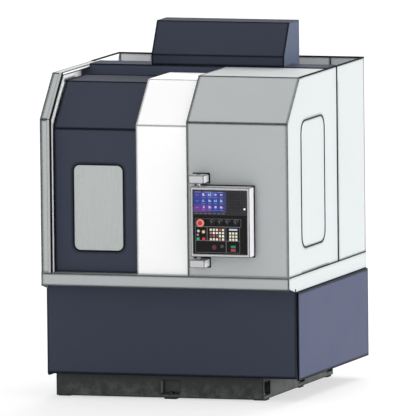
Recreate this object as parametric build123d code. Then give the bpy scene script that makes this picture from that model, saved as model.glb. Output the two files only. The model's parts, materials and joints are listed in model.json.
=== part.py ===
from build123d import *
from math import radians, sin, tan
import os

# CNC vertical lathe with a full sheet-metal enclosure, sizes in millimetres.
# While it is laid out, X runs to the right, Y runs back from the front edge of the deck
# and Z runs up from the floor. keep() then moves every piece so that the origin lies on
# the floor under the middle of the whole machine.

# Overall sizes
WIDTH = 2000
DEPTH = 2018
DECK_TOP = 978
WALL_HEIGHT = 1521
SHEET = 4

# Deck, the pale band that the enclosure stands on
DECK_HEIGHT = 98
SIDE_RAIL_DROP = 36
FRONT_RAIL_DEPTH = 154
SIDE_RAIL_WIDTH = 48
REAR_RAIL_DEPTH = 8
DECK_PLATE = 20
SPINDLE_CLEARANCE = 2

# Dark skirt round the bed
FRONT_SKIRT_SETBACK = 150
FRONT_SKIRT_BOTTOM = 182
FRONT_SKIRT_OVERHANG = 8
SIDE_SKIRT_BOTTOM = 165
SIDE_SKIRT_LAP = 4
SIDE_SKIRT_DEPTH = 16
SIDE_SKIRT_GAP = 6
SKIRT_RETURN = 30

# Cast bed, its levelling pockets and feet
BED_SIDE_GAP = 2
TANK_BAY_WIDTH = 226
BED_FRONT_GAP = 10
FOOT_HEIGHT = 10
FOOT_SIZE = 97
POCKET_DEPTH = 75
POCKET_HEIGHT = 105
POCKET_FLOOR = 30
POCKET_WIDTH = 156
END_POCKET_OFFSET = 922
CORNER_POCKET_OFFSET = 99
MIDDLE_POCKET_SHIFT = 85

# Enclosure profile seen from the side: upright front, 45 degree slope, flat top
SLOPE_RUN = 330
POST_WIDTH = 75
POST_RETURN = 105
TOP_LIP = 20
FOOT_FLANGE = 30
SEAM_Y = 1297
SEAM_GAP = 8
SEAM_LAP = 20
REAR_CORNER_WIDTH = 272

# Access hatch in each side wall
HATCH_FRONT = 340
HATCH_LENGTH = 610
HATCH_RISE = 195
HATCH_HEIGHT = 986
HATCH_RADIUS = 100
HATCH_GAP = 3
HATCH_LAP = 20

# Roof tray and column hood
ROOF_FRONT = 1036
ROOF_RISE = 7
LEDGE_DROP = 115
HOOD_LEFT = -420
HOOD_WIDTH = 1074
HOOD_DEPTH = 399
HOOD_HEIGHT = 332
HOOD_UPRIGHT = 79
HOOD_SLOPE_RUN = 150

# Fixed covers beside the door, each set back from the next
CENTRE_LEFT = -233
CENTRE_WIDTH = 416
CENTRE_SETBACK = 30
CENTRE_BEND_DROP = 34
CENTRE_TOP_DROP = 37
CENTRE_OVERRUN = 14
COVER_LAP = 20

# Sliding door that wraps over the top
DOOR_SEAL_GAP = 14
DOOR_LAP = 33
DOOR_SETBACK = 60
DOOR_BEND_DROP = 72
DOOR_TOP_DROP = 66
DOOR_REAR_GAP = 146
DOOR_RETURN = 18
DOOR_TRAVEL = 640
DOOR_CLEARANCE = 6
WINDOW_OFFSET = 154
WINDOW_WIDTH = 414
WINDOW_RISE = 168
WINDOW_HEIGHT = 679
WINDOW_RADIUS = 57
GASKET_WIDTH = 11
GASKET_PROUD = 1
GASKET_DEPTH = 9
PANE_DEPTH = 5

# Door rails and the shoes that run on them
RAIL_WIDTH = 20
RAIL_HEIGHT = 25
RAIL_SHELF = 12
SHOE_LENGTH = 90
SHOE_INSET = 90
SHOE_WALL = 8
SHOE_CROWN = 20
RUNNING_GAP = 0.3

# Operator panel on its hinge brackets
PANEL_OFFSET = 73
PANEL_WIDTH = 474
PANEL_RISE = 168
PANEL_HEIGHT = 539
PANEL_DEPTH = 116
PANEL_BACK_GAP = 24
PIVOT_FROM_SIDE = 44
PIVOT_FROM_BACK = 46
BRACKET_WIDTH = 120
BRACKET_OVERHANG = 13
BRACKET_HEIGHT = 62
BRACKET_GAP = 26
PIN_DIAMETER = 30
PIN_ENGAGEMENT = 40
PIN_CLEARANCE = 0.1
SOCKET_DEPTH = 42

# Fascia and its fittings: places are counted right and down from its top left corner
FASCIA_WIDTH = 436
FASCIA_HEIGHT = 494
FASCIA_PLATE = 3
UNIT_MARGIN = 2
UNIT_HEIGHT = 190
UNIT_RISE = 4
SCREEN_LEFT = 7
SCREEN_DOWN = 10
SCREEN_WIDTH = 262
SCREEN_HEIGHT = 160
SCREEN_RISE = 2
DATA_KEY_SIZE = 17
DATA_KEY_PITCH = 24
DATA_KEY_COLUMNS = 5
DATA_KEY_ROWS = 6
DATA_KEY_FIRST = (292, 26)
KEY_SIZE = 17
KEY_PITCH = 24.5
KEY_RISE = 3
MODE_KEY_FIRST = (143, 305)
MODE_KEY_COLUMNS = 5
MODE_KEY_ROWS = 4
AXIS_KEY_FIRST = (299, 330)
AXIS_KEY_COLUMNS = 3
AXIS_KEY_ROWS = 3
READOUT_PLACE = (324, 302)
READOUT_SIZE = (67, 13)
STOP_PLACE = (64, 253)
STOP_DIAMETER = 62
STOP_NECK = 42
STOP_COLLAR = 12
STOP_HEAD = 16
STOP_CHAMFER = 5
DIAL_DOWN = 250
DIAL_PLACES = (156, 218, 280, 345)
DIAL_DIAMETER = 34
DIAL_SKIRT = 10
DIAL_GRIP = (9, 30, 18)
LAMP_PLACES = ((44, 316), (85, 322), (39, 346), (42, 377), (86, 377), (170, 440), (233, 432))
LAMP_DIAMETERS = (26, 30, 22, 30, 30, 38, 26)
LAMP_RISE = 9
SWITCH_PLACES = ((323, 434), (323, 460))
SWITCH_SIZE = (39, 22)
SWITCH_RISE = 8

# Spindle, chuck and tool carrier inside the work chamber
SPINDLE_X = -430
SPINDLE_Y = 560
SPINDLE_BASE_RADIUS = 310
SPINDLE_NOSE_RADIUS = 240
SPINDLE_BASE_HEIGHT = 30
SPINDLE_FLARE_HEIGHT = 110
SPINDLE_HEIGHT = 172
CHUCK_RADIUS = 265
CHUCK_HEIGHT = 130
CHUCK_BORE_RADIUS = 70
CHUCK_CHAMFER = 12
JAW_COUNT = 3
JAW_WIDTH = 60
JAW_INNER = 90
JAW_OUTER = 250
JAW_SEAT = 30
JAW_STEP_HEIGHTS = (51, 72, 90)
JAW_STEP_LENGTHS = (70, 50, 40)
SLIDE_LEFT = -330
SLIDE_WIDTH = 580
SLIDE_RISE = 582
SLIDE_HEIGHT = 740
SLIDE_DEPTH = 136
SLIDE_CHAMFER = 24
WAY_PLATE_COUNT = 3
WAY_PLATE_STEP = 14
WAY_COVER_DEPTH = 62
WAY_COVER_INSET = 70
RAM_WIDTH = 250
RAM_DEPTH = 240
RAM_RISE = 502
RAM_HEIGHT = 850
RAM_CHAMFER = 20
TURRET_RADIUS = 220
TURRET_DEPTH = 130
TURRET_RISE = 662
TURRET_STATIONS = 12
HOLDER_WIDTH = 52
HOLDER_DEPTH = 84
HOLDER_REACH = 70

# Derived places
HALF = WIDTH / 2
INSIDE = HALF - SHEET
DECK_BOTTOM = DECK_TOP - DECK_HEIGHT
SIDE_RAIL_BOTTOM = DECK_BOTTOM - SIDE_RAIL_DROP
PLATE_BOTTOM = DECK_TOP - DECK_PLATE
BED_LEFT = -HALF + SIDE_RAIL_WIDTH + BED_SIDE_GAP
BED_RIGHT = HALF - SIDE_RAIL_WIDTH - TANK_BAY_WIDTH
BED_FRONT = FRONT_SKIRT_SETBACK + SKIRT_RETURN + BED_FRONT_GAP
BED_BACK = DEPTH - REAR_RAIL_DEPTH
WALL_TOP = DECK_TOP + WALL_HEIGHT
WALL_BEND = WALL_TOP - SLOPE_RUN
ROOF_TOP = WALL_TOP + ROOF_RISE
LEDGE_TOP = WALL_TOP - LEDGE_DROP
LEDGE_UNDERSIDE = LEDGE_TOP - SHEET
HOOD_BACK = ROOF_FRONT + HOOD_DEPTH
HOOD_TOP = ROOF_TOP + HOOD_HEIGHT
DOOR_BACK = ROOF_FRONT - DOOR_REAR_GAP
DOOR_BEND = WALL_BEND - DOOR_BEND_DROP
DOOR_TOP = WALL_TOP - DOOR_TOP_DROP
DOOR_LEFT = -HALF + POST_WIDTH + DOOR_SEAL_GAP
DOOR_RIGHT = CENTRE_LEFT + DOOR_LAP
DOOR_BOTTOM = DECK_TOP + DOOR_CLEARANCE
CENTRE_BEND = WALL_BEND - CENTRE_BEND_DROP
CENTRE_TOP = WALL_TOP - CENTRE_TOP_DROP
CENTRE_BACK = DOOR_BACK + CENTRE_OVERRUN
CONTROL_LEFT = CENTRE_LEFT + CENTRE_WIDTH
LOWER_RAIL_FRONT = DOOR_SETBACK + DOOR_RETURN + DOOR_CLEARANCE
UPPER_RAIL_FRONT = DOOR_BACK - SHEET - SHOE_WALL - RUNNING_GAP - RAIL_WIDTH
LEDGE_FRONT = UPPER_RAIL_FRONT - RAIL_SHELF
PANEL_LEFT = CONTROL_LEFT + PANEL_OFFSET
PANEL_BACK = -PANEL_BACK_GAP
PANEL_FRONT = PANEL_BACK - PANEL_DEPTH
PANEL_BOTTOM = DECK_TOP + PANEL_RISE
PANEL_TOP = PANEL_BOTTOM + PANEL_HEIGHT
PIVOT_X = PANEL_LEFT + PIVOT_FROM_SIDE
PIVOT_Y = PANEL_BACK - PIVOT_FROM_BACK
BRACKET_LEFT = PANEL_LEFT - BRACKET_OVERHANG
UPPER_BRACKET = PANEL_TOP + BRACKET_GAP
LOWER_BRACKET = PANEL_BOTTOM - BRACKET_GAP - BRACKET_HEIGHT
FASCIA_LEFT = PANEL_LEFT + (PANEL_WIDTH - FASCIA_WIDTH) / 2
FASCIA_TOP = PANEL_TOP - (PANEL_HEIGHT - FASCIA_HEIGHT) / 2
SPINDLE_TOP = DECK_TOP + SPINDLE_HEIGHT
TURRET_X = SLIDE_LEFT + SLIDE_WIDTH / 2
TURRET_Z = DECK_TOP + TURRET_RISE
SLIDE_FRONT = ROOF_FRONT - SLIDE_DEPTH
RAM_FRONT = SLIDE_FRONT - RAM_DEPTH
MIDDLE_Y = (DEPTH + PANEL_FRONT - STOP_COLLAR - STOP_HEAD) / 2

LOW_CORNER = (Align.MIN, Align.MIN, Align.MIN)
ON_BASE = (Align.CENTER, Align.CENTER, Align.MIN)

os.makedirs("parts", exist_ok=True)


def keep(name, solids):
    """Write the solids of one node, moved to the machine's own origin."""
    moved = [solid.moved(Location((0, -MIDDLE_Y, 0))) for solid in solids]
    export_step(Compound(children=moved, label=name), f"parts/{name}.step")


def both_sides(solid):
    """A right-hand piece and its mirror image on the left."""
    return [solid, mirrored(solid)]


def mirrored(solid):
    """The same solid on the other side of the machine."""
    return mirror(solid, about=Plane.YZ)


def block(x0, x1, y0, y1, z0, z1):
    """A box between two corners."""
    return Location((x0, y0, z0)) * Box(x1 - x0, y1 - y0, z1 - z0, align=LOW_CORNER)


def across(points, x0, x1):
    """A side outline of (y, z) points, extruded from x0 to x1."""
    face = Plane.YZ * Polygon(*points, align=None)
    return Location((x0, 0, 0)) * extrude(face, amount=x1 - x0, dir=(1, 0, 0))


def upright(points, z0, z1):
    """A plan outline of (x, y) points, extruded from z0 to z1."""
    face = Polygon(*points, align=None)
    return Location((0, 0, z0)) * extrude(face, amount=z1 - z0, dir=(0, 0, 1))


def turned(points):
    """A half outline of (radius, height) points, turned about the upright axis."""
    return revolve(Plane.XZ * Polygon(*points, align=None), axis=Axis.Z)


def cover_line(front, bend, top, back, inset=0):
    """Side outline points of a cover, moved inwards by inset, from the bend to the back."""
    run = top - bend
    shift = inset * tan(radians(22.5))
    return [
        (front + inset, bend - shift),
        (front + run + shift, top - inset),
        (back, top - inset),
    ]


def wall_line(back, inset=0):
    """The outermost profile, shared by the side walls and the control-side cover."""
    return cover_line(0, WALL_BEND, WALL_TOP, back, inset)


def centre_line(back, inset=0):
    """The profile of the centre cover."""
    return cover_line(CENTRE_SETBACK, CENTRE_BEND, CENTRE_TOP, back, inset)


def door_line(back, inset=0):
    """The innermost profile, of the sliding door."""
    return cover_line(DOOR_SETBACK, DOOR_BEND, DOOR_TOP, back, inset)


def folded(line, front, back, bottom, depth, x0, x1):
    """A strip of the given depth that follows a profile from its foot to its back."""
    outer = [(front, bottom)] + line(back)
    inner = [(front + depth, bottom)] + line(back, depth)
    return across(outer + inner[::-1], x0, x1)


# Bed, feet, skirts and deck

def bed_casting():
    """The cast bed with a blind levelling pocket at each foot."""
    bed = block(BED_LEFT, BED_RIGHT, BED_FRONT, BED_BACK, FOOT_HEIGHT, PLATE_BOTTOM)
    for place in pocket_places():
        bed -= pocket(*place)
    return [bed]


def pocket_places():
    """Middle of each pocket's mouth, and the way that the pocket runs inwards."""
    end_x = BED_LEFT + END_POCKET_OFFSET
    places = [(end_x, BED_FRONT, 0, 1), (end_x, BED_BACK, 0, -1)]
    middle = (BED_FRONT + BED_BACK) / 2 + MIDDLE_POCKET_SHIFT
    for y in (BED_FRONT + CORNER_POCKET_OFFSET, middle, BED_BACK - CORNER_POCKET_OFFSET):
        places.append((BED_RIGHT, y, -1, 0))
        places.append((BED_LEFT, y, 1, 0))
    return places


def inward_box(x, y, step_x, step_y, width, depth, z0, z1):
    """A box that starts at a mouth and runs inwards by depth."""
    size_x = depth if step_x else width
    size_y = depth if step_y else width
    middle_x = x + step_x * depth / 2
    middle_y = y + step_y * depth / 2
    return block(middle_x - size_x / 2, middle_x + size_x / 2,
                 middle_y - size_y / 2, middle_y + size_y / 2, z0, z1)


def pocket(x, y, step_x, step_y):
    """The space of one levelling pocket."""
    low = FOOT_HEIGHT + POCKET_FLOOR
    return inward_box(x, y, step_x, step_y, POCKET_WIDTH, POCKET_DEPTH, low, low + POCKET_HEIGHT)


def levelling_feet():
    """A pad on the floor under each pocket."""
    return [inward_box(*place, FOOT_SIZE, FOOT_SIZE, 0, FOOT_HEIGHT) for place in pocket_places()]


def front_skirt():
    """Dark front sheet with its bottom edge folded back."""
    edge = HALF + FRONT_SKIRT_OVERHANG
    y = FRONT_SKIRT_SETBACK
    low = FRONT_SKIRT_BOTTOM
    sheet = block(-edge, edge, y, y + SHEET, low, DECK_BOTTOM)
    return [sheet + block(-edge, edge, y, y + SKIRT_RETURN, low, low + SHEET)]


def side_skirt():
    """Dark side pan that hangs on the deck's side rail, as the right one."""
    front = FRONT_SKIRT_SETBACK + SKIRT_RETURN + SIDE_SKIRT_GAP
    outside = HALF + SIDE_SKIRT_DEPTH
    top = SIDE_RAIL_BOTTOM + SIDE_SKIRT_LAP
    pan = block(HALF, outside, front, DEPTH, SIDE_SKIRT_BOTTOM, top)
    inside = block(HALF, outside - SHEET, front + SHEET, DEPTH - SHEET,
                   SIDE_SKIRT_BOTTOM + SHEET, top - SHEET)
    return pan - inside


def rear_skirt():
    """Dark rear sheet between the side pans."""
    return [block(-HALF, HALF, DEPTH - SHEET, DEPTH, FRONT_SKIRT_BOTTOM, SIDE_RAIL_BOTTOM)]


def front_deck_rail():
    """Pale front band of the deck."""
    return [block(-HALF, HALF, 0, FRONT_RAIL_DEPTH, DECK_BOTTOM, DECK_TOP)]


def side_deck_rail():
    """Pale side band of the deck, deeper than the front one."""
    return block(HALF - SIDE_RAIL_WIDTH, HALF, FRONT_RAIL_DEPTH, DEPTH, SIDE_RAIL_BOTTOM, DECK_TOP)


def rear_deck_rail():
    """Rear band between the side rails."""
    edge = HALF - SIDE_RAIL_WIDTH
    return [block(-edge, edge, DEPTH - REAR_RAIL_DEPTH, DEPTH, SIDE_RAIL_BOTTOM, DECK_TOP)]


def splash_deck():
    """Floor plate of the work chamber, lying on the bed."""
    edge = HALF - SIDE_RAIL_WIDTH
    plate = block(-edge, edge, FRONT_RAIL_DEPTH, DEPTH - REAR_RAIL_DEPTH, PLATE_BOTTOM, DECK_TOP)
    hole = Cylinder(SPINDLE_BASE_RADIUS + SPINDLE_CLEARANCE, DECK_PLATE, align=ON_BASE)
    return [plate - Location((SPINDLE_X, SPINDLE_Y, PLATE_BOTTOM)) * hole]


# Enclosure walls

def side_wall():
    """Right front side wall, a skin with a foot flange on the deck."""
    back = SEAM_Y - SEAM_GAP / 2
    outline = [(0, DECK_TOP)] + wall_line(back) + [(back, DECK_TOP)]
    wall = across(outline, INSIDE, HALF)
    wall += block(HALF - FOOT_FLANGE, HALF, SLOPE_RUN, ROOF_FRONT, DECK_TOP, DECK_TOP + SHEET)
    return wall - hatch_shape(0, INSIDE - SHEET, HALF + SHEET)


def hatch_shape(inset, x0, x1):
    """The hatch's rounded outline, drawn in by inset, from x0 to x1."""
    outline = RectangleRounded(HATCH_LENGTH - 2 * inset, HATCH_HEIGHT - 2 * inset,
                               HATCH_RADIUS - inset)
    middle = Pos(HATCH_FRONT + HATCH_LENGTH / 2, DECK_TOP + HATCH_RISE + HATCH_HEIGHT / 2)
    return Location((x0, 0, 0)) * extrude(Plane.YZ * middle * outline, amount=x1 - x0,
                                          dir=(1, 0, 0))


def access_hatch():
    """Flush hatch with a wider backing plate behind the wall, as the right one."""
    return hatch_shape(HATCH_GAP, INSIDE, HALF) + hatch_shape(-HATCH_LAP, INSIDE - SHEET, INSIDE)


def left_side_wall():
    """Left front side wall with its wide front post, the post's return and a top flange."""
    edge = -HALF + POST_WIDTH
    seam_front = SEAM_Y - SEAM_GAP / 2
    wall = mirrored(side_wall())
    wall += folded(wall_line, 0, SLOPE_RUN + SHEET, DECK_TOP, SHEET, -HALF, edge)
    wall += across(post_return_outline(), edge - SHEET, edge)
    wall += block(-HALF, edge, SLOPE_RUN, seam_front, WALL_TOP - SHEET, WALL_TOP)
    wall += block(edge - SHEET, edge, SLOPE_RUN, ROOF_FRONT, WALL_TOP - TOP_LIP, WALL_TOP)
    return [wall]


def post_return_outline():
    """Outline of the post's return, square to the slope at its upper end."""
    shift = POST_RETURN * tan(radians(22.5))
    reach = POST_RETURN * sin(radians(45))
    return [
        (0, DECK_TOP), (0, WALL_BEND), (SLOPE_RUN, WALL_TOP),
        (SLOPE_RUN + reach, WALL_TOP - reach), (POST_RETURN, WALL_BEND - shift),
        (POST_RETURN, DECK_TOP),
    ]


def rear_corner_wall():
    """Rear side wall folded round the corner, with a joggle behind the seam, as the right one."""
    front = SEAM_Y + SEAM_GAP / 2
    corner = HALF - REAR_CORNER_WIDTH
    plan = [(HALF, front), (HALF, DEPTH), (corner, DEPTH), (corner, DEPTH - SHEET),
            (INSIDE, DEPTH - SHEET), (INSIDE, front)]
    wall = upright(plan, DECK_TOP, WALL_TOP)
    return wall + block(INSIDE - SHEET, INSIDE, front - SEAM_LAP, front + SEAM_LAP,
                        DECK_TOP, LEDGE_UNDERSIDE)


def rear_wall_panel():
    """Middle panel of the rear wall."""
    edge = HALF - REAR_CORNER_WIDTH
    return [block(-edge, edge, DEPTH - SHEET, DEPTH, DECK_TOP, WALL_TOP)]


def roof_panel():
    """Roof tray: ledge for the door rail, upstands and flat top, notched for the left wall's flange."""
    top = ROOF_TOP - SHEET
    outline = [
        (LEDGE_FRONT, LEDGE_UNDERSIDE), (ROOF_FRONT + SHEET, LEDGE_UNDERSIDE),
        (ROOF_FRONT + SHEET, top), (SEAM_Y - SHEET, top), (SEAM_Y - SHEET, LEDGE_UNDERSIDE),
        (SEAM_Y, LEDGE_UNDERSIDE), (SEAM_Y, ROOF_TOP), (ROOF_FRONT, ROOF_TOP),
        (ROOF_FRONT, LEDGE_TOP), (LEDGE_FRONT, LEDGE_TOP),
    ]
    notch = block(-INSIDE, -HALF + POST_WIDTH, ROOF_FRONT, SEAM_Y, WALL_TOP - SHEET, ROOF_TOP)
    return [across(outline, -INSIDE, INSIDE) - notch]


def well_cover():
    """Sheet over the machine room behind the roof tray."""
    return [block(-INSIDE, INSIDE, SEAM_Y, DEPTH - SHEET, LEDGE_UNDERSIDE, LEDGE_TOP)]


def column_hood():
    """Dark hood over the top of the column, sloped at the front and stepped down at the rear."""
    outline = [
        (ROOF_FRONT, ROOF_TOP), (ROOF_FRONT, ROOF_TOP + HOOD_UPRIGHT),
        (ROOF_FRONT + HOOD_SLOPE_RUN, HOOD_TOP), (HOOD_BACK, HOOD_TOP), (HOOD_BACK, LEDGE_TOP),
        (SEAM_Y, LEDGE_TOP), (SEAM_Y, ROOF_TOP),
    ]
    return [across(outline, HOOD_LEFT, HOOD_LEFT + HOOD_WIDTH)]


def centre_cover():
    """White cover that the door slides behind, with a return at its open edge."""
    right = CONTROL_LEFT + COVER_LAP
    cover = folded(centre_line, CENTRE_SETBACK, CENTRE_BACK, DECK_TOP, SHEET, CENTRE_LEFT, right)
    cover += block(CENTRE_LEFT, right, CENTRE_BACK - SHEET, CENTRE_BACK, LEDGE_TOP, CENTRE_TOP)
    outer = [(CENTRE_SETBACK, DECK_TOP)] + centre_line(CENTRE_BACK)
    inner = [(DOOR_SETBACK - DOOR_CLEARANCE, DECK_TOP)] + door_line(CENTRE_BACK, -DOOR_CLEARANCE)
    return [cover + across(outer + inner[::-1], CENTRE_LEFT, CENTRE_LEFT + SHEET)]


def control_side_cover():
    """Grey cover on the operator's side, with a return that lands on the centre cover."""
    cover = folded(wall_line, 0, ROOF_FRONT, DECK_TOP, SHEET, CONTROL_LEFT, INSIDE)
    outer = [(0, DECK_TOP)] + wall_line(CENTRE_BACK)
    inner = [(CENTRE_SETBACK, DECK_TOP)] + centre_line(CENTRE_BACK)
    return [cover + across(outer + inner[::-1], CONTROL_LEFT, CONTROL_LEFT + SHEET)]


def chamber_rear_wall():
    """Partition between the work chamber and the machine room."""
    return [block(-INSIDE, INSIDE, ROOF_FRONT, ROOF_FRONT + SHEET, DECK_TOP, LEDGE_UNDERSIDE)]


# Sliding door

def door_leaf():
    """Door sheet that wraps over the top, with folded edges and a window hole."""
    front = DOOR_SETBACK
    leaf = folded(door_line, front, DOOR_BACK, DOOR_BOTTOM, SHEET, DOOR_LEFT, DOOR_RIGHT)
    for x in (DOOR_LEFT, DOOR_RIGHT - SHEET):
        leaf += folded(door_line, front, DOOR_BACK, DOOR_BOTTOM, DOOR_RETURN, x, x + SHEET)
    leaf += block(DOOR_LEFT, DOOR_RIGHT, DOOR_BACK - SHEET, DOOR_BACK,
                  DOOR_TOP - DOOR_RETURN, DOOR_TOP)
    return [leaf - window_shape(0, front - SHEET, front + 2 * SHEET)]


def window_shape(inset, y0, y1):
    """The window's rounded outline, drawn in by inset, from y0 to y1."""
    outline = RectangleRounded(WINDOW_WIDTH - 2 * inset, WINDOW_HEIGHT - 2 * inset,
                               WINDOW_RADIUS - inset)
    middle = Pos(DOOR_LEFT + WINDOW_OFFSET + WINDOW_WIDTH / 2,
                 DECK_TOP + WINDOW_RISE + WINDOW_HEIGHT / 2)
    return Location((0, y0, 0)) * extrude(Plane.XZ * middle * outline, amount=y1 - y0,
                                          dir=(0, 1, 0))


def window_gasket():
    """Rubber ring that holds the pane in the door."""
    y0 = DOOR_SETBACK - GASKET_PROUD
    y1 = y0 + GASKET_DEPTH
    return [window_shape(0, y0, y1) - window_shape(GASKET_WIDTH, y0 - SHEET, y1 + SHEET)]


def door_window():
    """Pane inside the gasket."""
    y0 = DOOR_SETBACK + GASKET_PROUD
    return [window_shape(GASKET_WIDTH, y0, y0 + PANE_DEPTH)]


def door_rails():
    """Lower rail on the deck and upper rail on the roof ledge."""
    end = DOOR_RIGHT + DOOR_TRAVEL + DOOR_CLEARANCE
    return [
        block(DOOR_LEFT, end, LOWER_RAIL_FRONT, LOWER_RAIL_FRONT + RAIL_WIDTH,
              DECK_TOP, DECK_TOP + RAIL_HEIGHT),
        block(DOOR_LEFT, end, UPPER_RAIL_FRONT, UPPER_RAIL_FRONT + RAIL_WIDTH,
              LEDGE_TOP, LEDGE_TOP + RAIL_HEIGHT),
    ]


def door_shoes():
    """Guide shoes on the door, two on each rail."""
    shoes = []
    for x in (DOOR_LEFT + SHOE_INSET, DOOR_RIGHT - SHOE_INSET - SHOE_LENGTH):
        shoes.append(lower_shoe(x, x + SHOE_LENGTH))
        shoes.append(upper_shoe(x, x + SHOE_LENGTH))
    return shoes


def lower_shoe(x0, x1):
    """Shoe on the back of the door's front sheet, over the lower rail."""
    rail_back = LOWER_RAIL_FRONT + RAIL_WIDTH + RUNNING_GAP
    rail_top = DECK_TOP + RAIL_HEIGHT + RUNNING_GAP
    body = block(x0, x1, DOOR_SETBACK + SHEET, rail_back + SHOE_WALL,
                 DOOR_BOTTOM, rail_top + SHOE_CROWN)
    return body - block(x0, x1, LOWER_RAIL_FRONT - RUNNING_GAP, rail_back, DOOR_BOTTOM, rail_top)


def upper_shoe(x0, x1):
    """Shoe under the door's top sheet, over the upper rail."""
    low = LEDGE_TOP + DOOR_CLEARANCE
    rail_back = UPPER_RAIL_FRONT + RAIL_WIDTH + RUNNING_GAP
    body = block(x0, x1, UPPER_RAIL_FRONT - RUNNING_GAP - SHOE_WALL, rail_back + SHOE_WALL,
                 low, DOOR_TOP - SHEET)
    return body - block(x0, x1, UPPER_RAIL_FRONT - RUNNING_GAP, rail_back,
                        low, LEDGE_TOP + RAIL_HEIGHT + RUNNING_GAP)


# Operator panel

def panel_brackets():
    """Two arms on the cover that carry the panel's hinge pins."""
    brackets = []
    for low in (UPPER_BRACKET, LOWER_BRACKET):
        arm = block(BRACKET_LEFT, BRACKET_LEFT + BRACKET_WIDTH, PANEL_FRONT, 0,
                    low, low + BRACKET_HEIGHT)
        brackets.append(arm - on_pivot(low, low + BRACKET_HEIGHT, PIN_DIAMETER))
    return brackets


def on_pivot(z0, z1, diameter):
    """A cylinder on the panel's pivot axis."""
    place = Location((PIVOT_X, PIVOT_Y, z0))
    return place * Cylinder(diameter / 2, z1 - z0, align=ON_BASE)


def panel_hinge_pins():
    """Pins fixed in the brackets, entering the panel from above and below."""
    return [
        on_pivot(PANEL_TOP - PIN_ENGAGEMENT, UPPER_BRACKET + BRACKET_HEIGHT, PIN_DIAMETER),
        on_pivot(LOWER_BRACKET, PANEL_BOTTOM + PIN_ENGAGEMENT, PIN_DIAMETER),
    ]


def operator_panel_housing():
    """Panel box with sockets for the hinge pins and a recess for the fascia."""
    box = block(PANEL_LEFT, PANEL_LEFT + PANEL_WIDTH, PANEL_FRONT, PANEL_BACK,
                PANEL_BOTTOM, PANEL_TOP)
    hole = PIN_DIAMETER + 2 * PIN_CLEARANCE
    box -= on_pivot(PANEL_TOP - SOCKET_DEPTH, PANEL_TOP, hole)
    box -= on_pivot(PANEL_BOTTOM, PANEL_BOTTOM + SOCKET_DEPTH, hole)
    return [box - fascia_plate()]


def fascia_plate():
    """Black face plate of the panel, let into the box."""
    return block(FASCIA_LEFT, FASCIA_LEFT + FASCIA_WIDTH, PANEL_FRONT, PANEL_FRONT + FASCIA_PLATE,
                 FASCIA_TOP - FASCIA_HEIGHT, FASCIA_TOP)


def fitting_block(place, size, rise, seat=0):
    """A block that stands out from the fascia, centred on a place."""
    x = FASCIA_LEFT + place[0]
    z = FASCIA_TOP - place[1]
    y = PANEL_FRONT - seat
    return block(x - size[0] / 2, x + size[0] / 2, y - rise, y, z - size[1] / 2, z + size[1] / 2)


def fitting_round(place, diameter, rise, seat=0):
    """A round piece that stands out from the fascia."""
    x = FASCIA_LEFT + place[0]
    z = FASCIA_TOP - place[1]
    facing = Location((x, PANEL_FRONT - seat, z), (90, 0, 0))
    return facing * Cylinder(diameter / 2, rise, align=ON_BASE)


def key_grid(first, columns, rows, pitch, size, seat=0):
    """Low keys in columns and rows, counted from the first key's place."""
    keys = []
    for row in range(rows):
        for column in range(columns):
            place = (first[0] + pitch * column, first[1] + pitch * row)
            keys.append(fitting_block(place, (size, size), KEY_RISE, seat))
    return keys


def screen_place():
    """Middle of the display."""
    return SCREEN_LEFT + SCREEN_WIDTH / 2, SCREEN_DOWN + SCREEN_HEIGHT / 2


def control_unit():
    """Bezel of the display unit, open over the screen."""
    place = (FASCIA_WIDTH / 2, UNIT_MARGIN + UNIT_HEIGHT / 2)
    bezel = fitting_block(place, (FASCIA_WIDTH - 2 * UNIT_MARGIN, UNIT_HEIGHT), UNIT_RISE)
    return [bezel - fitting_block(screen_place(), (SCREEN_WIDTH, SCREEN_HEIGHT), UNIT_RISE)]


def display_screen():
    """Flat display in the bezel."""
    return [fitting_block(screen_place(), (SCREEN_WIDTH, SCREEN_HEIGHT), SCREEN_RISE)]


def data_keys():
    """Dark keypad beside the display."""
    return key_grid(DATA_KEY_FIRST, DATA_KEY_COLUMNS, DATA_KEY_ROWS, DATA_KEY_PITCH,
                    DATA_KEY_SIZE, UNIT_RISE)


def function_keys():
    """Pale key blocks and the small readout on the lower panel."""
    keys = key_grid(MODE_KEY_FIRST, MODE_KEY_COLUMNS, MODE_KEY_ROWS, KEY_PITCH, KEY_SIZE)
    keys += key_grid(AXIS_KEY_FIRST, AXIS_KEY_COLUMNS, AXIS_KEY_ROWS, KEY_PITCH, KEY_SIZE)
    return keys + [fitting_block(READOUT_PLACE, READOUT_SIZE, KEY_RISE)]


def emergency_stop():
    """Red mushroom button on a short collar."""
    head = fitting_round(STOP_PLACE, STOP_DIAMETER, STOP_HEAD, STOP_COLLAR)
    head = chamfer(head.faces().sort_by(Axis.Y)[0].edges(), STOP_CHAMFER)
    return [fitting_round(STOP_PLACE, STOP_NECK, STOP_COLLAR) + head]


def selector_dials():
    """Row of rotary selectors, each with a grip bar."""
    dials = []
    for right in DIAL_PLACES:
        place = (right, DIAL_DOWN)
        dial = fitting_round(place, DIAL_DIAMETER, DIAL_SKIRT)
        dials.append(dial + fitting_block(place, DIAL_GRIP[:2], DIAL_GRIP[2]))
    return dials


def push_buttons():
    """Round lamp buttons, key switch and the square start and stop buttons."""
    buttons = []
    for place, diameter in zip(LAMP_PLACES, LAMP_DIAMETERS):
        buttons.append(fitting_round(place, diameter, LAMP_RISE))
    for place in SWITCH_PLACES:
        buttons.append(fitting_block(place, SWITCH_SIZE, SWITCH_RISE))
    return buttons


# Work chamber

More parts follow.
